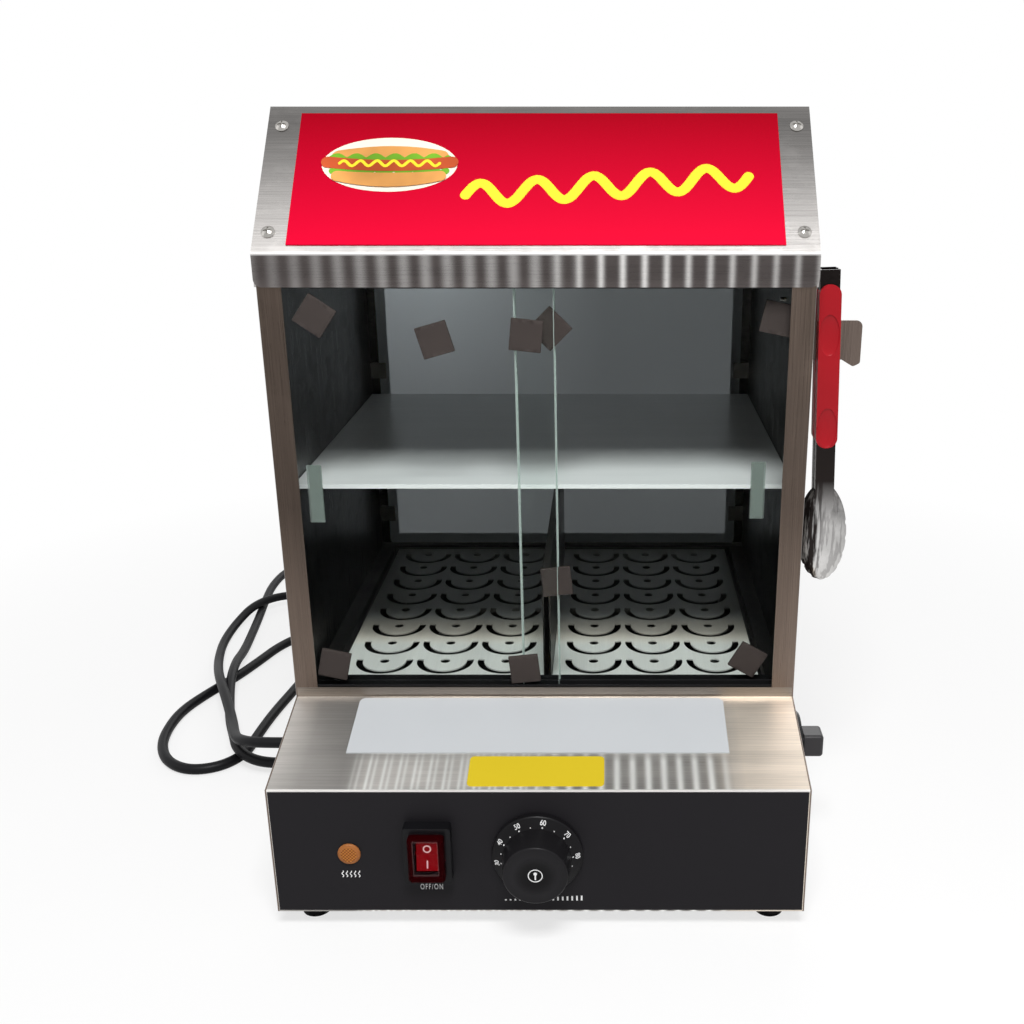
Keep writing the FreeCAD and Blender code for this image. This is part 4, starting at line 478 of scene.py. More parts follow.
def ledge_paint(graph, base):
    """Painted light: duller left, warm and bright right, bright reflected bars along the front, bright
    fold.
    """
    place = graph.axis("X")
    base = graph.toned(base, graph.ramp(place, *LEDGE_SHEEN_TONES))
    base = graph.blend(graph.span(place, 100, 130, 0, 1), base, graph.tinted(base, LEDGE_WARM_SHEEN))
    # Painted reflections: bright bars along the front
    left = graph.plus(*(graph.times(graph.lines("X", start, LEFT_STEP, LEFT_SHARP), level)
                        for start, level in LEFT_REFLECTION_BARS))
    right = graph.lines("X", RIGHT_REFLECTION_BAR, RIGHT_STEP, RIGHT_SHARP)
    side = graph.span(place, -20, 20, 0, 1)
    bars = graph.plus(graph.times(left, graph.maths("SUBTRACT", 1.0, side)), graph.times(right, side))
    dull = graph.toned(base, graph.span(side, 0, 1, 1.5, 0.75))
    strip = graph.times(graph.within("X", -116, 118, 5),
                        graph.span(graph.axis("Y"), BOARD_FRONT - 4, BOARD_FRONT + 6, 1, 0))
    base = graph.blend(strip, base, graph.blend(graph.span(bars, 0, 1, 0, 1), dull, LEDGE_REFLECTION_BAR))
    # Painted highlight along the fold
    fold = graph.times(graph.span(graph.axis("Y"), LEDGE_FRONT + 1.2, LEDGE_FRONT + 0.6, 0, 1),
                       graph.within("Z", LEDGE_FOOT - 1.4, LEDGE_FOOT + 1.5))
    return graph.blend(fold, base, LEDGE_FOLD_HIGHLIGHT)


RAIL_HIGHLIGHT_TONES = ((123, 1.5), (126, 1.15), (130, 0.8))


def rail_paint(graph, base):
    """Paler towards the foot of the rail, a painted highlight."""
    return graph.toned(base, graph.ramp(graph.axis("Z"), *RAIL_HIGHLIGHT_TONES))


ARM_STEEL = (0.022, 0.018, 0.017)
ARM_FOOT, HEAD_TOP = 236, 272


def tong_paint(graph, base):
    """Dark upper arms, and heads with bright streaks of painted reflection down one side."""
    # Painted reflections: bright streaks, stronger on one side of the heads
    streak = graph.span(graph.noise(graph.place((70, 70, 6)), 5, 3, 0.6), 0.45, 0.62, 0, 1)
    low = graph.span(graph.axis("Z"), HEAD_TOP, ARM_FOOT, 0, 1)
    side = graph.span(graph.axis("X"), 180, 187, 0.3, 1.1)
    return graph.blend(graph.times(low, graph.span(graph.plus(streak, side), 0.5, 1.4, 0, 1)),
                       ARM_STEEL, base)


REAR_CLEAR = 0.4


def rear_paint(graph, base):
    """Grey film, a little paler towards the top left as painted light."""
    tone = graph.plus(graph.times(graph.span(graph.axis("X"), -100, 40, 0.5, 0),
                                  graph.span(graph.axis("Z"), 240, 360, 0.2, 1)), 0.5)
    return graph.toned(base, tone), REAR_CLEAR


# Painted shadow of the shelf on the trays, duller and a little warmer under it
TRAY_SHADOW_TONES = ((-14, 1.0), (6, 0.5), (50, 0.3), (150, 0.26))
TRAY_SHADOW_WARM = (1.12, 1.0, 0.9)


def tray_paint(graph, base):
    """Bright at the front and duller, a little warmer, under the shelf, as its painted shadow."""
    base = graph.toned(base, graph.ramp(graph.axis("Y"), *TRAY_SHADOW_TONES))
    warm = graph.times(graph.within("Y", -12, 30, 8), 0.8)
    return graph.blend(warm, base, graph.tinted(base, TRAY_SHADOW_WARM))


DOOR_EDGES = [(corner.x - CASE_X) / MM
              for corner in (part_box("glass_door_left")[1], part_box("glass_door_right")[0])]
GROUND_EDGE, EDGE_CLEAR = (0.42, 0.52, 0.48), 0.5


def door_paint(graph, base):
    """Clear, with pale ground edges where the two doors pass each other."""
    edges = [graph.span(graph.maths("ABSOLUTE", graph.beside("X", place)), 0.3, 0.55, 1, 0)
             for place in DOOR_EDGES]
    edge = graph.maths("MAXIMUM", *edges)
    return graph.blend(edge, base, GROUND_EDGE), graph.span(edge, 0, 1, 1, EDGE_CLEAR)


ROCKER_LOW, ROCKER_HIGH = [((corner.x - CASE_X) / MM, corner.z / MM)
                           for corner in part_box("switch_rocker")]
BOOT_WINDOW, BOOT_CLEAR = (0.9, 0.6, 0.6), 0.84


def boot_paint(graph, base):
    """Deep red skin, clear over the rocker."""
    window = graph.times(graph.within("X", ROCKER_LOW[0] + 0.4, ROCKER_HIGH[0] - 0.4, 0.4),
                         graph.within("Z", ROCKER_LOW[1] + 1, ROCKER_HIGH[1] + 3.5, 0.6))
    return graph.blend(window, base, BOOT_WINDOW), graph.span(window, 0, 1, BOOT_CLEAR, 1.0)


KNOB_LOW, KNOB_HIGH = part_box("thermostat_knob")
KNOB_X = (KNOB_LOW.x + KNOB_HIGH.x) / 2
KNOB_Z = (KNOB_LOW.z + KNOB_HIGH.z) / 2
KNOB_SHADE_TONES = ((3, 0.3), (9, 0.8), (14, 1.7), (19, 1.4), (22, 0.8))


def knob_paint(graph, base):
    """Painted shade and highlight: darkest in the middle of the dished face, palest round its rim."""
    reach = graph.reach(graph.beside("X", (KNOB_X - CASE_X) / MM), graph.beside("Z", KNOB_Z / MM))
    return graph.toned(base, graph.ramp(reach, *KNOB_SHADE_TONES))


# Case steel kept dark as a painted reflection of dark surroundings; its outer sides are tinted paler
STEEL = (0.115, 0.088, 0.072)
RAIL_STEEL = (0.29, 0.25, 0.215)
HOOD_STEEL = (0.5, 0.48, 0.465)
LEDGE_STEEL = (0.5, 0.48, 0.455)
BACK_STEEL = (0.27, 0.255, 0.24)


def build_materials():
    """All looks by name.

    Steel gives its colour, the axis of its grain, its roughness and how far that spreads; other
    metal its colour, roughness, and the scale and depth of its clouds; plastic its colour,
    roughness, the scale and height of its texture and the depth of its clouds.
    """
    return {
        "hood": brushed("hood_steel", HOOD_STEEL, "X", 0.28, streaks=0.07, paint=hood_paint),
        "ledge": brushed("ledge_steel", LEDGE_STEEL, "X", 0.48, paint=ledge_paint, metallic=0.7),
        "case": brushed("case_steel", STEEL, "Z", 0.3, paint=case_paint),
        "rail": brushed("rail_steel", RAIL_STEEL, "X", 0.3, paint=rail_paint),
        "back": brushed("back_steel", BACK_STEEL, "X", 0.3, paint=back_paint),
        # Steel inside the cabinet kept dark as painted shade
        "hidden": brushed("hidden_steel", (0.1, 0.097, 0.092), "X", 0.45),
        "shelf": brushed("shelf_steel", (0.83, 0.87, 0.88), "X", 0.24, 0.06, streaks=0.03, blotch=0.02,
                         metallic=0.0, smear=0.015),
        "tray": brushed("tray_steel", (0.68, 0.7, 0.67), "Y", 0.4, streaks=0.05, paint=tray_paint,
                        metallic=0.1, smear=0.04),
        "divider": brushed("divider_steel", (0.04, 0.036, 0.032), "Y", 0.35),
        "hook": brushed("hook_steel", (0.17, 0.133, 0.114), "Z", 0.3),
        "tongs": plain_metal("tong_steel", (0.6, 0.59, 0.58), 0.2, 40, 0.18, paint=tong_paint),
        "bright": plain_metal("bright_steel", (0.4, 0.385, 0.365), 0.18),
        "clip": plain_metal("clip_steel", (0.08, 0.075, 0.07), 0.35),
        "heater": plain_metal("heater_steel", (0.2, 0.19, 0.18), 0.4),
        "brass": plain_metal("brass", (0.62, 0.48, 0.24), 0.3),
        "copper": plain_metal("copper", (0.66, 0.38, 0.24), 0.32),
        "overlay": plastic("overlay_film", (0.0125, 0.0115, 0.0135), 0.5, 1500, 0.04, 0.03, level=0.1),
        "board": plastic("board_film", (0.535, 0.555, 0.575), 0.45, 700, 0.03, 0.008, level=0.2),
        "label": plastic("label_film", (0.64, 0.48, 0.022), 0.5, 900, 0.03, 0.01, level=0.06),
        "sign": sign_film(),
        "rubber": plastic("rubber", (0.005, 0.005, 0.006), 0.42, 700, 0.14, level=0.14),
        "foam": plastic("foam", (0.047, 0.038, 0.035), 0.75, 2600, 0.5, 0.12, level=0.15),
        "knob": plastic("knob_plastic", (0.009, 0.0085, 0.0095), 0.36, 2200, 0.1, level=0.1,
                        paint=knob_paint),
        "black": plastic("black_plastic", (0.006, 0.006, 0.007), 0.22, 1200, 0.05, level=0.13),
        "track": plastic("track_plastic", (0.01, 0.01, 0.0105), 0.4, 900, 0.05, level=0.2),
        "grip": plastic("grip_plastic", (0.34, 0.008, 0.014), 0.34, 800, 0.04, 0.06, level=0.16),
        "control": plastic("control_plastic", (0.62, 0.6, 0.55), 0.5, 900, 0.08),
        "tap": plastic("tap_plastic", (0.03, 0.028, 0.03), 0.3, 900, 0.06, level=0.28),
        "rocker": plastic("rocker_plastic", (0.2, 0.002, 0.006), 0.3, 700, 0.03, level=0.1),
        "lens": lens_plastic(),
        "boot": pane("boot_skin", (0.09, 0.003, 0.006), 0.05, paint=boot_paint,
                     lamp_tint=(0.95, 0.9, 0.9)),
        "door": pane("door_glass", (0.965, 0.985, 0.978), 0.005, smear=0.03, paint=door_paint,
                     lamp_tint=(0.95, 0.97, 0.96)),
        "pull": pane("pull_glass", (0.46, 0.52, 0.49), 0.12, 0.85, lamp_tint=(0.9, 0.93, 0.92)),
        "rear": pane("rear_film_glass", (0.8, 0.84, 0.87), 0.5, smear=0.1, paint=rear_paint),
        "white": plastic("white_ink", (0.78, 0.78, 0.78), 0.5, 900, 0.02, 0.03, level=0.2),
        "yellow": plastic("yellow_ink", (0.8, 0.62, 0.03), 0.45, 900, 0.02, 0.03, level=0.1),
        "cream": plastic("cream_ink", (0.74, 0.68, 0.58), 0.45, 900, 0.02, 0.03, level=0.1),
        "bun": plastic("bun_ink", (0.62, 0.29, 0.08), 0.45, 300, 0.02, 0.25, level=0.1),
        "sausage": plastic("sausage_ink", (0.42, 0.07, 0.02), 0.4, 300, 0.02, 0.25, level=0.1),
        "leaf": plastic("leaf_ink", (0.14, 0.34, 0.02), 0.45, 300, 0.02, 0.3, level=0.1),
    }


SIGN_LOW, SIGN_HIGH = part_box("sign_panel")
SIGN_RED, SIGN_DEEP = (0.67, 0.002, 0.03), (0.29, 0.0005, 0.008)


def sign_film():
    """Smooth red film, a little deeper towards its top."""
    graph = Graph("sign_film")
    rise = graph.span(graph.axis("Z"), SIGN_LOW.z / MM, SIGN_HIGH.z / MM, 0, 1)
    fine = graph.noise(graph.place(), 500, 3)
    graph.set(Base_Color=graph.blend(rise, SIGN_RED, SIGN_DEEP), Specular_IOR_Level=0.02,
              Roughness=graph.span(fine, 0.3, 0.7, 0.4, 0.5))
    graph.bump(fine, 0.03, 0.0001)
    return graph.material


LENS_NET = 2.2
LENS_LOW, LENS_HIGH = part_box("lamp_lens")
LENS_MIDDLE = ((LENS_LOW + LENS_HIGH) / 2 - Vector((CASE_X, CASE_Y, 0))) / MM
LENS_R = (LENS_HIGH.x - LENS_LOW.x) / 2 / MM
NET_LINE, NET_CELL = (0.14, 0.026, 0.004), (0.47, 0.175, 0.031)
LENS_RIM = (0.36, 0.13, 0.035)


def lens_plastic():
    """Amber lens with a small diamond pattern, browner at its rim."""
    graph = Graph("lens_plastic")
    across, up = graph.beside("X", LENS_MIDDLE.x), graph.beside("Z", LENS_MIDDLE.z)
    waves = [graph.maths("SINE", graph.times(slant, math.pi / LENS_NET))
             for slant in (graph.plus(across, up), graph.maths("SUBTRACT", across, up))]
    net = graph.times(*(graph.maths("ABSOLUTE", line) for line in waves))
    base = graph.blend(graph.span(net, 0.08, 0.5, 0, 1), NET_LINE, NET_CELL)
    rim = graph.span(graph.reach(across, up), LENS_R - 1.4, LENS_R - 0.9, 0, 1)
    base = graph.blend(rim, base, LENS_RIM)
    graph.set(Base_Color=base, Roughness=0.35, Specular_IOR_Level=0.15)
    graph.bump(net, 0.4, 0.0003)
    return graph.material


MATERIALS = build_materials()
NODE_LOOKS = {
    "hood": ["hood_shell", "hood_end_left", "hood_end_right"],
    "ledge": ["front_panel"],
    "case": ["side_panel_left", "side_panel_right"],
    "rail": ["front_rail", "header_rail"],
    "back": ["back_panel"],
    "hidden": ["base_pan", "deck", "ceiling_panel", "water_tank", "shelf_rails"],
    "shelf": ["shelf"], "tray": ["tray_left", "tray_right"], "divider": ["divider"],
    "hook": ["tong_hook"], "tongs": ["tong_arm_front", "tong_arm_rear"],
    "bright": ["thermostat_shaft", "sign_screws", "case_screws", "tong_pin", "tong_spring"],
    "clip": ["rear_glass_clips"],
    "heater": ["heating_element"], "brass": ["tank_fittings", "drain_valve"],
    "copper": ["thermostat_probe"], "overlay": ["control_overlay"], "board": ["ledge_board"],
    "label": ["ledge_label"], "sign": ["sign_panel"],
    "rubber": ["feet", "power_cord", "power_plug", "cord_gland"],
    "foam": ["foam_pads_left", "foam_pads_right"], "knob": ["thermostat_knob"],
    "black": ["switch_body", "drain_flange"],
    "track": ["door_track_bottom", "door_track_top"], "grip": ["tong_grip_front", "tong_grip_rear"],
    "control": ["thermostat_body", "terminal_block"], "tap": ["drain_knob"],
    "rocker": ["switch_rocker"], "lens": ["lamp_lens", "lamp_housing"], "boot": ["switch_boot"],
    "door": ["glass_door_left", "glass_door_right"], "pull": ["door_pull_left", "door_pull_right"],
    "rear": ["rear_glass"],
}


def dress(obj, look):
    """Give an object one of the materials."""
    obj.data.materials.clear()
    obj.data.materials.append(MATERIALS[look])
    return obj


for look, names in NODE_LOOKS.items():
    for name in names:
        dress(frame["nodes"][name], look)
dress(cord, "rubber")


def from_bmesh(name, mesh_data, look, body, matrix=None, smooth=False):
    """Finish a mesh as a piece that rides on a body."""
    mesh = bpy.data.meshes.new(name)
    mesh_data.to_mesh(mesh)
    mesh_data.free()
    if matrix is not None:
        mesh.transform(matrix)
    if smooth:
        mesh.shade_smooth()
    obj = bpy.data.objects.new(name, mesh)
    SCENE.collection.objects.link(obj)
    dress(obj, look)
    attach(obj, body)
    return obj


# Printed pieces are thin raised films, this thick and this far above their surface
INK = 0.12 * MM
INK_GAP = 0.02 * MM


def flat_shape(mesh_data, outline):
    """Add a closed flat shape of the ink's thickness, from its outline in its own plane."""
    bottom = [mesh_data.verts.new((x, y, 0)) for x, y in outline]
    top = [mesh_data.verts.new((x, y, INK)) for x, y in outline]
    mesh_data.faces.new(bottom[::-1])
    mesh_data.faces.new(top)
    count = len(outline)
    for index in range(count):
        after = (index + 1) % count
        mesh_data.faces.new((bottom[index], bottom[after], top[after], top[index]))


def disc(centre, radius, steps, stretch=1.0):
    """Outline of a disc or an oval."""
    return [(centre[0] + radius * stretch * math.cos(2 * math.pi * step / steps),
             centre[1] + radius * math.sin(2 * math.pi * step / steps)) for step in range(steps)]


RING_STEPS = 40


def ring_shape(mesh_data, outer, inner):
    """Add a flat ring round the origin."""
    loops = [[mesh_data.verts.new((x, y, z)) for x, y in disc((0, 0), radius, RING_STEPS)]
             for radius, z in ((outer, 0), (outer, INK), (inner, INK), (inner, 0))]
    for first, second in zip(loops, loops[1:] + loops[:1]):
        for step in range(RING_STEPS):
            after = (step + 1) % RING_STEPS
            mesh_data.faces.new((first[step], first[after], second[after], second[step]))


# Steps of a band's round ends, and how far round they go so that the last keeps some width
CAP_STEPS, CAP_REACH = 6, 0.97


def band(mesh_data, points, width, taper=None):
    """Add a band along points with round ends, as a strip of quads with a thickness."""
    middle, half, run = [], [], []
    for index, point in enumerate(points):
        before = points[max(index - 1, 0)]
        after = points[min(index + 1, len(points) - 1)]
        middle.append(Vector(point))
        run.append(Vector((after[0] - before[0], after[1] - before[1])).normalized())
        share = index / (len(points) - 1)
        half.append(width / 2 * (1 if taper is None else taper(share)))
    rows = []
    for step in range(CAP_STEPS, 0, -1):
        turn = math.pi / 2 * step / CAP_STEPS * CAP_REACH
        rows.append((middle[0] - run[0] * half[0] * math.sin(turn), run[0], half[0] * math.cos(turn)))
    rows += list(zip(middle, run, half))
    for step in range(1, CAP_STEPS + 1):
        turn = math.pi / 2 * step / CAP_STEPS * CAP_REACH
        end = middle[-1] + run[-1] * half[-1] * math.sin(turn)
        rows.append((end, run[-1], half[-1] * math.cos(turn)))
    rings = []
    for spot, along, reach in rows:
        side = Vector((-along.y, along.x)) * reach
        ends = (spot + side, spot - side)
        rings.append([mesh_data.verts.new((*end, z)) for end, z in
                      ((ends[0], 0), (ends[0], INK), (ends[1], INK), (ends[1], 0))])
    for first, second in zip(rings, rings[1:]):
        for corner in range(4):
            after = (corner + 1) % 4
            mesh_data.faces.new((first[corner], first[after], second[after], second[corner]))
    mesh_data.faces.new(rings[0][::-1])
    mesh_data.faces.new(rings[-1])


def wave(start, end, height, turns, steps):
    """Points of a wavy line between two points."""
    count = turns * steps
    return [(start[0] + (end[0] - start[0]) * index / count,
             start[1] + (end[1] - start[1]) * index / count
             + height * math.sin(2 * math.pi * index / steps)) for index in range(count + 1)]


SAME_POINT = 1e-7


def text_mesh(name, words, size, squeeze, weight, gap=1.0):
    """A word or number as a thin mesh in its own plane, centred on its origin."""
    data = bpy.data.curves.new(name, "FONT")
    data.body = words
    data.size = size
    data.align_x = "CENTER"
    data.align_y = "CENTER"
    data.extrude = INK / 2
    data.offset = size * weight
    data.space_character = gap
    helper = bpy.data.objects.new(name, data)
    SCENE.collection.objects.link(helper)
    bpy.context.view_layer.update()
    mesh = bpy.data.meshes.new_from_object(helper)
    bpy.data.objects.remove(helper)
    mesh_data = bmesh.new()
    mesh_data.from_mesh(mesh)
    bpy.data.meshes.remove(mesh)
    bmesh.ops.remove_doubles(mesh_data, verts=mesh_data.verts, dist=SAME_POINT)
    mesh_data.transform(Matrix.Translation((0, 0, INK / 2)) @ Matrix.Diagonal((squeeze, 1, 1, 1)))
    return mesh_data


# Upright prints face the front
FACING = Matrix.Rotation(math.radians(90), 4, "X")
OVERLAY_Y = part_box("control_overlay")[0].y

# Scale of the dial: the cone of its skirt as radii and heights above the panel, its numbers with
# their turn from the top, the dots at and between them, and the dish of the knob's face
SKIRT_OUT, SKIRT_IN = (28.2 * MM, 4.1 * MM), (21.8 * MM, 7.0 * MM)
NUMBER_R, DOT_R = 25.5 * MM, 22.75 * MM
NUMBER_SIZE, NUMBER_SQUEEZE, NUMBER_WEIGHT = 4.6 * MM, 0.86, 0.012
DIAL_NUMBERS = {"30": -99, "40": -64, "50": -28, "60": 9.5, "70": 49, "80": 87}
LAST_DOT = 104
BIG_DOT, SMALL_DOT, DOT_STEPS = 0.5 * MM, 0.36 * MM, 12
DISH_R, DISH_DEPTH = 12 * MM, 1.0 * MM
# The thermometer on that face: its ring, and the place and size of its bulb and of its stem
ICON_OUT, ICON_IN = 4.6 * MM, 4.0 * MM
BULB_Z, BULB_R, BULB_STEPS = 1.3 * MM, 1.15 * MM, 20
STEM, STEM_LINE = (0.4 * MM, -1.0 * MM, -2.6 * MM), 0.9 * MM


def on_skirt(radius, turn):
    """Matrix that sets a print on the dial's skirt at a radius, turned clockwise from the top."""
    share = (SKIRT_OUT[0] - radius) / (SKIRT_OUT[0] - SKIRT_IN[0])
    height = SKIRT_OUT[1] + (SKIRT_IN[1] - SKIRT_OUT[1]) * share
    tilt = math.atan2(SKIRT_IN[1] - SKIRT_OUT[1], SKIRT_OUT[0] - SKIRT_IN[0])
    spot = Matrix.Translation((0, -height, radius))
    lift = Matrix.Translation((0, 0, INK_GAP * 3))
    return (Matrix.Translation((KNOB_X, OVERLAY_Y, KNOB_Z))
            @ Matrix.Rotation(math.radians(turn), 4, "Y")
            @ spot @ FACING @ Matrix.Rotation(-tilt, 4, "X") @ lift)


def dial_prints():
    """Numbers and dots round the dial and a small thermometer on its face."""
    for word, turn in DIAL_NUMBERS.items():
        number = text_mesh("number", word, NUMBER_SIZE, NUMBER_SQUEEZE, NUMBER_WEIGHT)
        from_bmesh(f"dial_number_{word}", number, "white", "thermostat",
                   on_skirt(NUMBER_R, turn))
    marks = sorted(DIAL_NUMBERS.values())
    halves = [(low + high) / 2 for low, high in zip(marks, marks[1:])] + [LAST_DOT]
    dots = bmesh.new()
    for turn in marks + halves:
        dot = bmesh.new()
        flat_shape(dot, disc((0, 0), BIG_DOT if turn in marks else SMALL_DOT, DOT_STEPS))
        dot.transform(on_skirt(DOT_R, turn))
        mesh = bpy.data.meshes.new("dot")
        dot.to_mesh(mesh)
        dot.free()
        dots.from_mesh(mesh)
        bpy.data.meshes.remove(mesh)
    from_bmesh("dial_dots", dots, "white", "thermostat")
    icon = bmesh.new()
    ring_shape(icon, ICON_OUT, ICON_IN)
    flat_shape(icon, disc((0, BULB_Z), BULB_R, BULB_STEPS))
    band(icon, [(0, height) for height in STEM], STEM_LINE)
    for vertex in icon.verts:
        reach = math.hypot(vertex.co.x, vertex.co.y)
        vertex.co.z -= DISH_DEPTH * (1 - (reach / DISH_R) ** 2)
    face = Matrix.Translation((KNOB_X, KNOB_LOW.y - INK_GAP * 3, KNOB_Z)) @ FACING
    from_bmesh("dial_icon", icon, "white", "thermostat", face)


dial_prints()


def panel_print(name, mesh_data, x, z):
    """Set a white print on the control panel."""
    spot = Matrix.Translation((CASE_X + x * MM, OVERLAY_Y - INK_GAP, z * MM)) @ FACING
    from_bmesh(name, mesh_data, "white", "cabinet", spot)


# Middles of the prints under the lamp, the switch and the dial
LAMP_X, SWITCH_X, PRINT_X = -120.6, -69.5, 2
HEAT_Z, WORDS_Z, SCALE_Z = 41.4, 31.6, 23
WORDS_SIZE, WORDS_SQUEEZE, WORDS_WEIGHT, WORDS_GAP = 6.0 * MM, 0.56, -0.008, 1.3
# Heat waves: their distance, swing, line width, and the turn and rise of each of their points
HEAT_PITCH, HEAT_SWING, HEAT_LINE = 2.6 * MM, 0.55 * MM, 0.6 * MM
HEAT_POINTS, HEAT_TURN, HEAT_RISE = 8, 1.2, 0.62 * MM
# Scale of bars: their number, distance, half width and foot, the first one's top and its growth
BARS, BAR_PITCH, BAR_HALF, BAR_FOOT = 17, 3.05 * MM, 0.55 * MM, -1.8 * MM
BAR_TOP, BAR_GROWTH = -0.9 * MM, 0.17 * MM


def panel_prints():
    """Words under the switch, heat waves under the lamp and a growing scale under the dial."""
    words = text_mesh("words", "OFF/ON", WORDS_SIZE, WORDS_SQUEEZE, WORDS_WEIGHT, WORDS_GAP)
    panel_print("switch_words", words, SWITCH_X, WORDS_Z)
    heat = bmesh.new()
    for column in (-2, -1, 0, 1, 2):
        points = [(column * HEAT_PITCH + HEAT_SWING * math.sin(step * HEAT_TURN),
                   (step - (HEAT_POINTS - 1) / 2) * HEAT_RISE) for step in range(HEAT_POINTS)]
        band(heat, points, HEAT_LINE)
    panel_print("heat_icon", heat, LAMP_X, HEAT_Z)
    scale = bmesh.new()
    for step in range(BARS):
        middle = (step - (BARS - 1) / 2) * BAR_PITCH
        low, high = BAR_FOOT, BAR_TOP + step * BAR_GROWTH
        flat_shape(scale, [(middle - BAR_HALF, low), (middle + BAR_HALF, low),
                           (middle + BAR_HALF, high), (middle - BAR_HALF, high)])
    panel_print("heat_scale", scale, PRINT_X, SCALE_Z)


panel_prints()

# The rocker's half height, the rise of its two faces, its front beyond its axle and its tilt at rest
ROCKER_HALF, ROCKER_RISE = 10.5 * MM, 0.7 * MM
ROCKER_FRONT, ROCKER_REST, MARK_DROP = 2.7 * MM, -8, 1.0 * MM
CIRCLE_OUT, CIRCLE_IN = 2.6 * MM, 1.8 * MM
MARK_REACH, MARK_LINE = 2.2 * MM, 0.9 * MM


def rocker_prints():
    """The circle and the bar of the switch, on the rocker's two sloped faces."""
    joint = [item for item in frame["joints"] if item["name"] == "switch_rock"][0]
    pivot = Vector(joint["pos_m"])
    for name, side in (("rocker_circle", 1), ("rocker_bar", -1)):
        mark = bmesh.new()
        if side > 0:
            ring_shape(mark, CIRCLE_OUT, CIRCLE_IN)
        else:
            band(mark, [(0, -MARK_REACH), (0, 0), (0, MARK_REACH)], MARK_LINE)
        slope = math.atan2(ROCKER_RISE, ROCKER_HALF) * side
        middle = ROCKER_FRONT + ROCKER_RISE / 2
        face = (Matrix.Translation(pivot) @ Matrix.Rotation(math.radians(ROCKER_REST), 4, "X")
                @ Matrix.Translation((0, -middle - INK_GAP * 4, side * ROCKER_HALF / 2 - MARK_DROP))
                @ Matrix.Rotation(slope, 4, "X") @ FACING)
        from_bmesh(name, mark, "white", "switch", face)


rocker_prints()

# Sign: its slope, thickness and a frame whose X runs along it and Y up its slope
SIGN_RISE, SIGN_RUN = 84, 72.5
SLOPE = math.atan2(SIGN_RISE, SIGN_RUN)
SIGN_T = 0.8 * MM
SIGN_X = (SIGN_LOW.x + SIGN_HIGH.x) / 2
SIGN_FACE = Matrix.Translation((SIGN_X, SIGN_LOW.y, SIGN_LOW.z)) @ Matrix.Rotation(SLOPE, 4, "X")


def sign_print(name, mesh_data, look, layer):
    """A print in millimetres from the middle of the sign's lower edge, laid on it in layers."""
    mesh_data.transform(Matrix.Diagonal((MM, MM, 1, 1)))
    lift = Matrix.Translation((0, 0, SIGN_T + INK_GAP + layer * (INK + INK_GAP)))
    corner = Vector((0, SIGN_T * math.sin(SLOPE), 0))
    base = Matrix.Translation(corner) @ SIGN_FACE @ lift
    from_bmesh(name, mesh_data, look, "cabinet", base)


def sign_band(name, points, width, look, layer, taper=None):
    """A print that is one band."""
    mesh_data = bmesh.new()
    band(mesh_data, points, width, taper)
    sign_print(name, mesh_data, look, layer)


# The bun's middle on the sign, its oval field and the wave of mustard, in millimetres
BUN_X, BUN_Y = -92, 59
FIELD_R, FIELD_STRETCH, FIELD_STEPS = 20.5, 2.05, 56
SAUCE = wave((-44, 36), (130, 50), 8.2, 5, 24)


def arch(step_x, foot, bend):
    """Points of a band that bends up or down on both sides of the bun's middle."""
    return [(BUN_X + step * step_x, BUN_Y + foot + bend * step * step) for step in range(-6, 7)]


def ripple(half, foot, height, steps):
    """Six waves across the bun, at a height from its middle."""
    return wave((BUN_X - half, BUN_Y + foot), (BUN_X + half, BUN_Y + foot), height, 6, steps)


def plump(share):
    """Fuller in the middle than at the ends."""
    return 0.72 + 0.28 * math.sin(math.pi * share)


def sign_prints():
    """A plain drawing of a filled bun on a cream field and a wide wave of mustard."""
    field = bmesh.new()
    flat_shape(field, disc((BUN_X, BUN_Y), FIELD_R, FIELD_STEPS, FIELD_STRETCH))
    sign_print("sign_field", field, "cream", 0)
    sign_band("sign_bun_back", arch(5.2, 6.5, -0.03), 15, "bun", 1, plump)
    sign_band("sign_leaf", ripple(36, 4.5, 1.6, 10), 4.6, "leaf", 2)
    sign_band("sign_leaf_low", ripple(35, -5, 1.6, 10), 4.6, "leaf", 2)
    sign_band("sign_sausage", arch(6.4, -1, 0.07), 8.4, "sausage", 3)
    sign_band("sign_mustard", ripple(31, 0.5, 2.0, 12), 2.0, "yellow", 4)
    sign_band("sign_bun", arch(5.3, -12, 0.08), 10.5, "bun", 5, plump)
    sign_band("sign_wave", SAUCE, 6.6, "yellow", 0)


sign_prints()


# Foam pads: how near points are joined and how flat faces are merged, rounding of the edges,
# longest edge and rounds of cuts, depth of the front face and its unevenness in millimetres
PAD_JOIN, PAD_FLAT = 1e-6, 0.02
PAD_ROUND, PAD_MESH, PAD_CUTS = 0.5 * MM, 2.5 * MM, 3
PAD_FRONT, PAD_UNEVEN = 0.3 * MM, 0.12


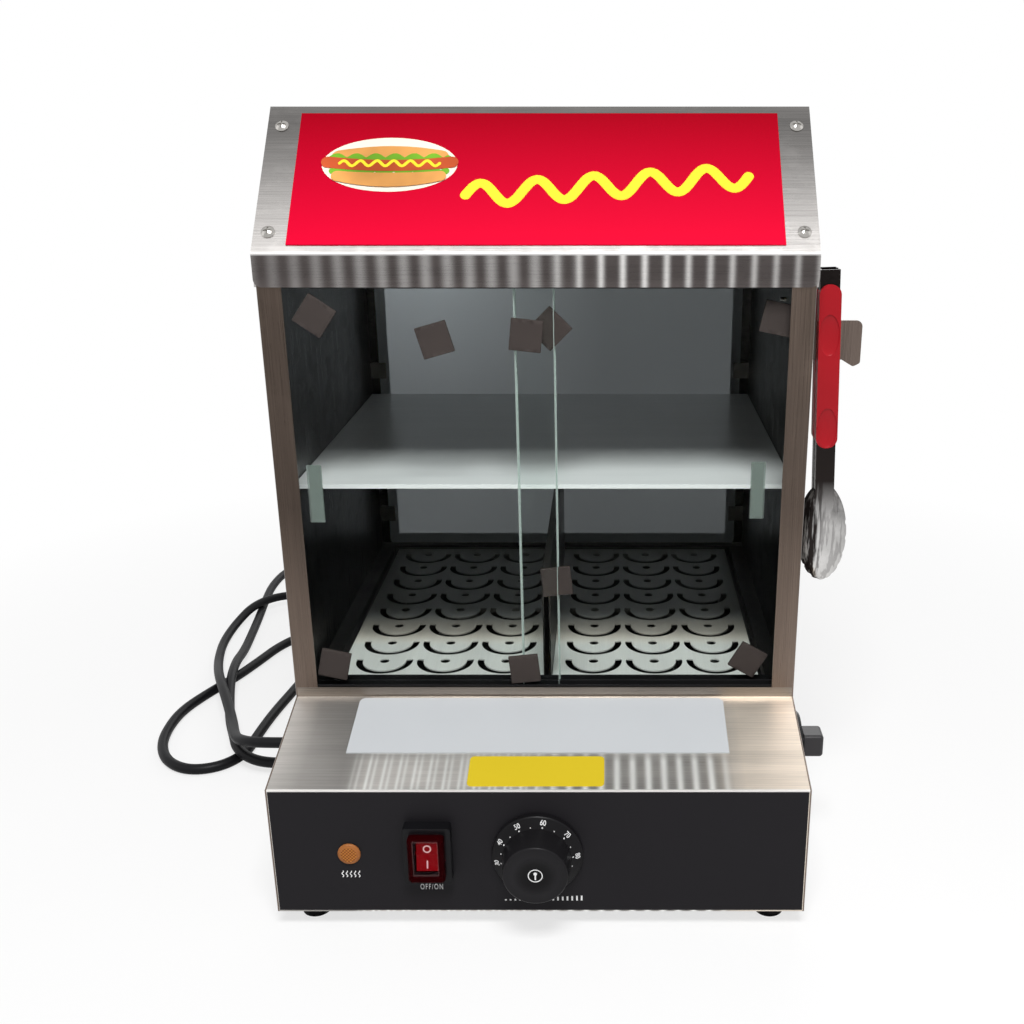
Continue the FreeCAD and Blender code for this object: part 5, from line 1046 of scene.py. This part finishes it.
def foam_pads(name, node, body):
    """Soft square pads on a door, their edges rounded and their faces a little uneven."""
    source = frame["nodes"][node]
    mesh_data = bmesh.new()
    mesh_data.from_mesh(source.data)
    bmesh.ops.remove_doubles(mesh_data, verts=mesh_data.verts, dist=PAD_JOIN)
    bmesh.ops.dissolve_limit(mesh_data, angle_limit=PAD_FLAT, verts=mesh_data.verts,
                             edges=mesh_data.edges)
    bmesh.ops.bevel(mesh_data, geom=list(mesh_data.edges), offset=PAD_ROUND, segments=2,
                    affect="EDGES", profile=0.6)
    bmesh.ops.triangulate(mesh_data, faces=mesh_data.faces)
    for _ in range(PAD_CUTS):
        long = [edge for edge in mesh_data.edges if edge.calc_length() > PAD_MESH]
        bmesh.ops.subdivide_edges(mesh_data, edges=long, cuts=1)
        bmesh.ops.triangulate(mesh_data, faces=mesh_data.faces)
    front = min(vertex.co.y for vertex in mesh_data.verts)
    for vertex in mesh_data.verts:
        if vertex.co.y < front + PAD_FRONT:
            vertex.co.y += rng.uniform(0, PAD_UNEVEN) * MM
    piece = from_bmesh(name, mesh_data, "foam", body, smooth=True)
    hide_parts(node)


foam_pads("soft_pads_left", "foam_pads_left", "left_door")
foam_pads("soft_pads_right", "foam_pads_right", "right_door")

# Floor: its side in metres, and how much of it is plain white at two distances in millimetres
FLOOR_SIZE = 8.0
FLOOR_GLOW, FLOOR_FADE = (0.7, 1.0), (350, 850)


def add_stage():
    """A plain pale floor, nearly white to the camera and through glass, that keeps its shadows."""
    mesh_data = bmesh.new()
    bmesh.ops.create_grid(mesh_data, x_segments=1, y_segments=1, size=FLOOR_SIZE / 2)
    mesh = bpy.data.meshes.new("floor")
    mesh_data.to_mesh(mesh)
    mesh_data.free()
    floor = bpy.data.objects.new("floor", mesh)
    SCENE.collection.objects.link(floor)
    graph = Graph("floor_paint")
    soft = graph.noise(graph.place(), 3, 2)
    graph.set(Base_Color=graph.blend(soft, (0.9, 0.9, 0.9), (0.93, 0.93, 0.93)), Roughness=0.8)
    path = graph.add("ShaderNodeLightPath")
    glow = graph.add("ShaderNodeEmission")
    seen = graph.maths("MAXIMUM", path.outputs["Is Camera Ray"], path.outputs["Is Transmission Ray"])
    reach = graph.reach(graph.axis("X"), graph.axis("Y"))
    share = graph.times(seen, graph.span(reach, *FLOOR_FADE, *FLOOR_GLOW))
    graph.mix_in(share, glow.outputs["Emission"])
    mesh.materials.append(graph.material)


add_stage()

# Lamps: place, aim, width, depth and power
LAMPS = [
    ("key", (0.06, -0.93, 1.56), (0, -0.05, 0.26), 0.6, 0.4, 26),
    ("side_left", (-1.7, -0.6, 1.2), (0, 0, 0.25), 1.1, 1.1, 2.5),
    ("side_right", (1.7, -0.5, 1.2), (0, 0, 0.25), 1.1, 1.1, 2.5),
    ("back", (0.4, 1.8, 1.3), (0, 0, 0.3), 1.2, 1.2, 8),
]


def add_lamps():
    """Broad soft lamps."""
    for name, at, aim, width, depth, power in LAMPS:
        data = bpy.data.lights.new(name, "AREA")
        data.shape = "RECTANGLE"
        data.size = width
        data.size_y = depth
        data.energy = power
        lamp = bpy.data.objects.new(name, data)
        lamp.location = at
        lamp.rotation_euler = (Vector(at) - Vector(aim)).to_track_quat("Z", "Y").to_euler()
        SCENE.collection.objects.link(lamp)


add_lamps()

WORLD_FILL = 0.22


def add_world():
    """Even pale light; seen directly, in metal and through glass it is white."""
    world = bpy.data.worlds.new("studio")
    SCENE.world = world
    world.use_nodes = True
    tree = world.node_tree
    output = tree.nodes["World Output"]
    fill = tree.nodes["Background"]
    seen = tree.nodes.new("ShaderNodeBackground")
    for node, strength in ((fill, WORLD_FILL), (seen, 1.0)):
        node.inputs["Color"].default_value = (1, 1, 1, 1)
        node.inputs["Strength"].default_value = strength
    path = tree.nodes.new("ShaderNodeLightPath")
    first = tree.nodes.new("ShaderNodeMath")
    second = tree.nodes.new("ShaderNodeMath")
    mix = tree.nodes.new("ShaderNodeMixShader")
    first.operation = second.operation = "MAXIMUM"
    tree.links.new(path.outputs["Is Camera Ray"], first.inputs[0])
    tree.links.new(path.outputs["Is Glossy Ray"], first.inputs[1])
    tree.links.new(first.outputs["Value"], second.inputs[0])
    tree.links.new(path.outputs["Is Transmission Ray"], second.inputs[1])
    tree.links.new(second.outputs["Value"], mix.inputs["Fac"])
    tree.links.new(fill.outputs["Background"], mix.inputs[1])
    tree.links.new(seen.outputs["Background"], mix.inputs[2])
    tree.links.new(mix.outputs["Shader"], output.inputs["Surface"])


add_world()
SCENE.view_settings.view_transform = "Standard"
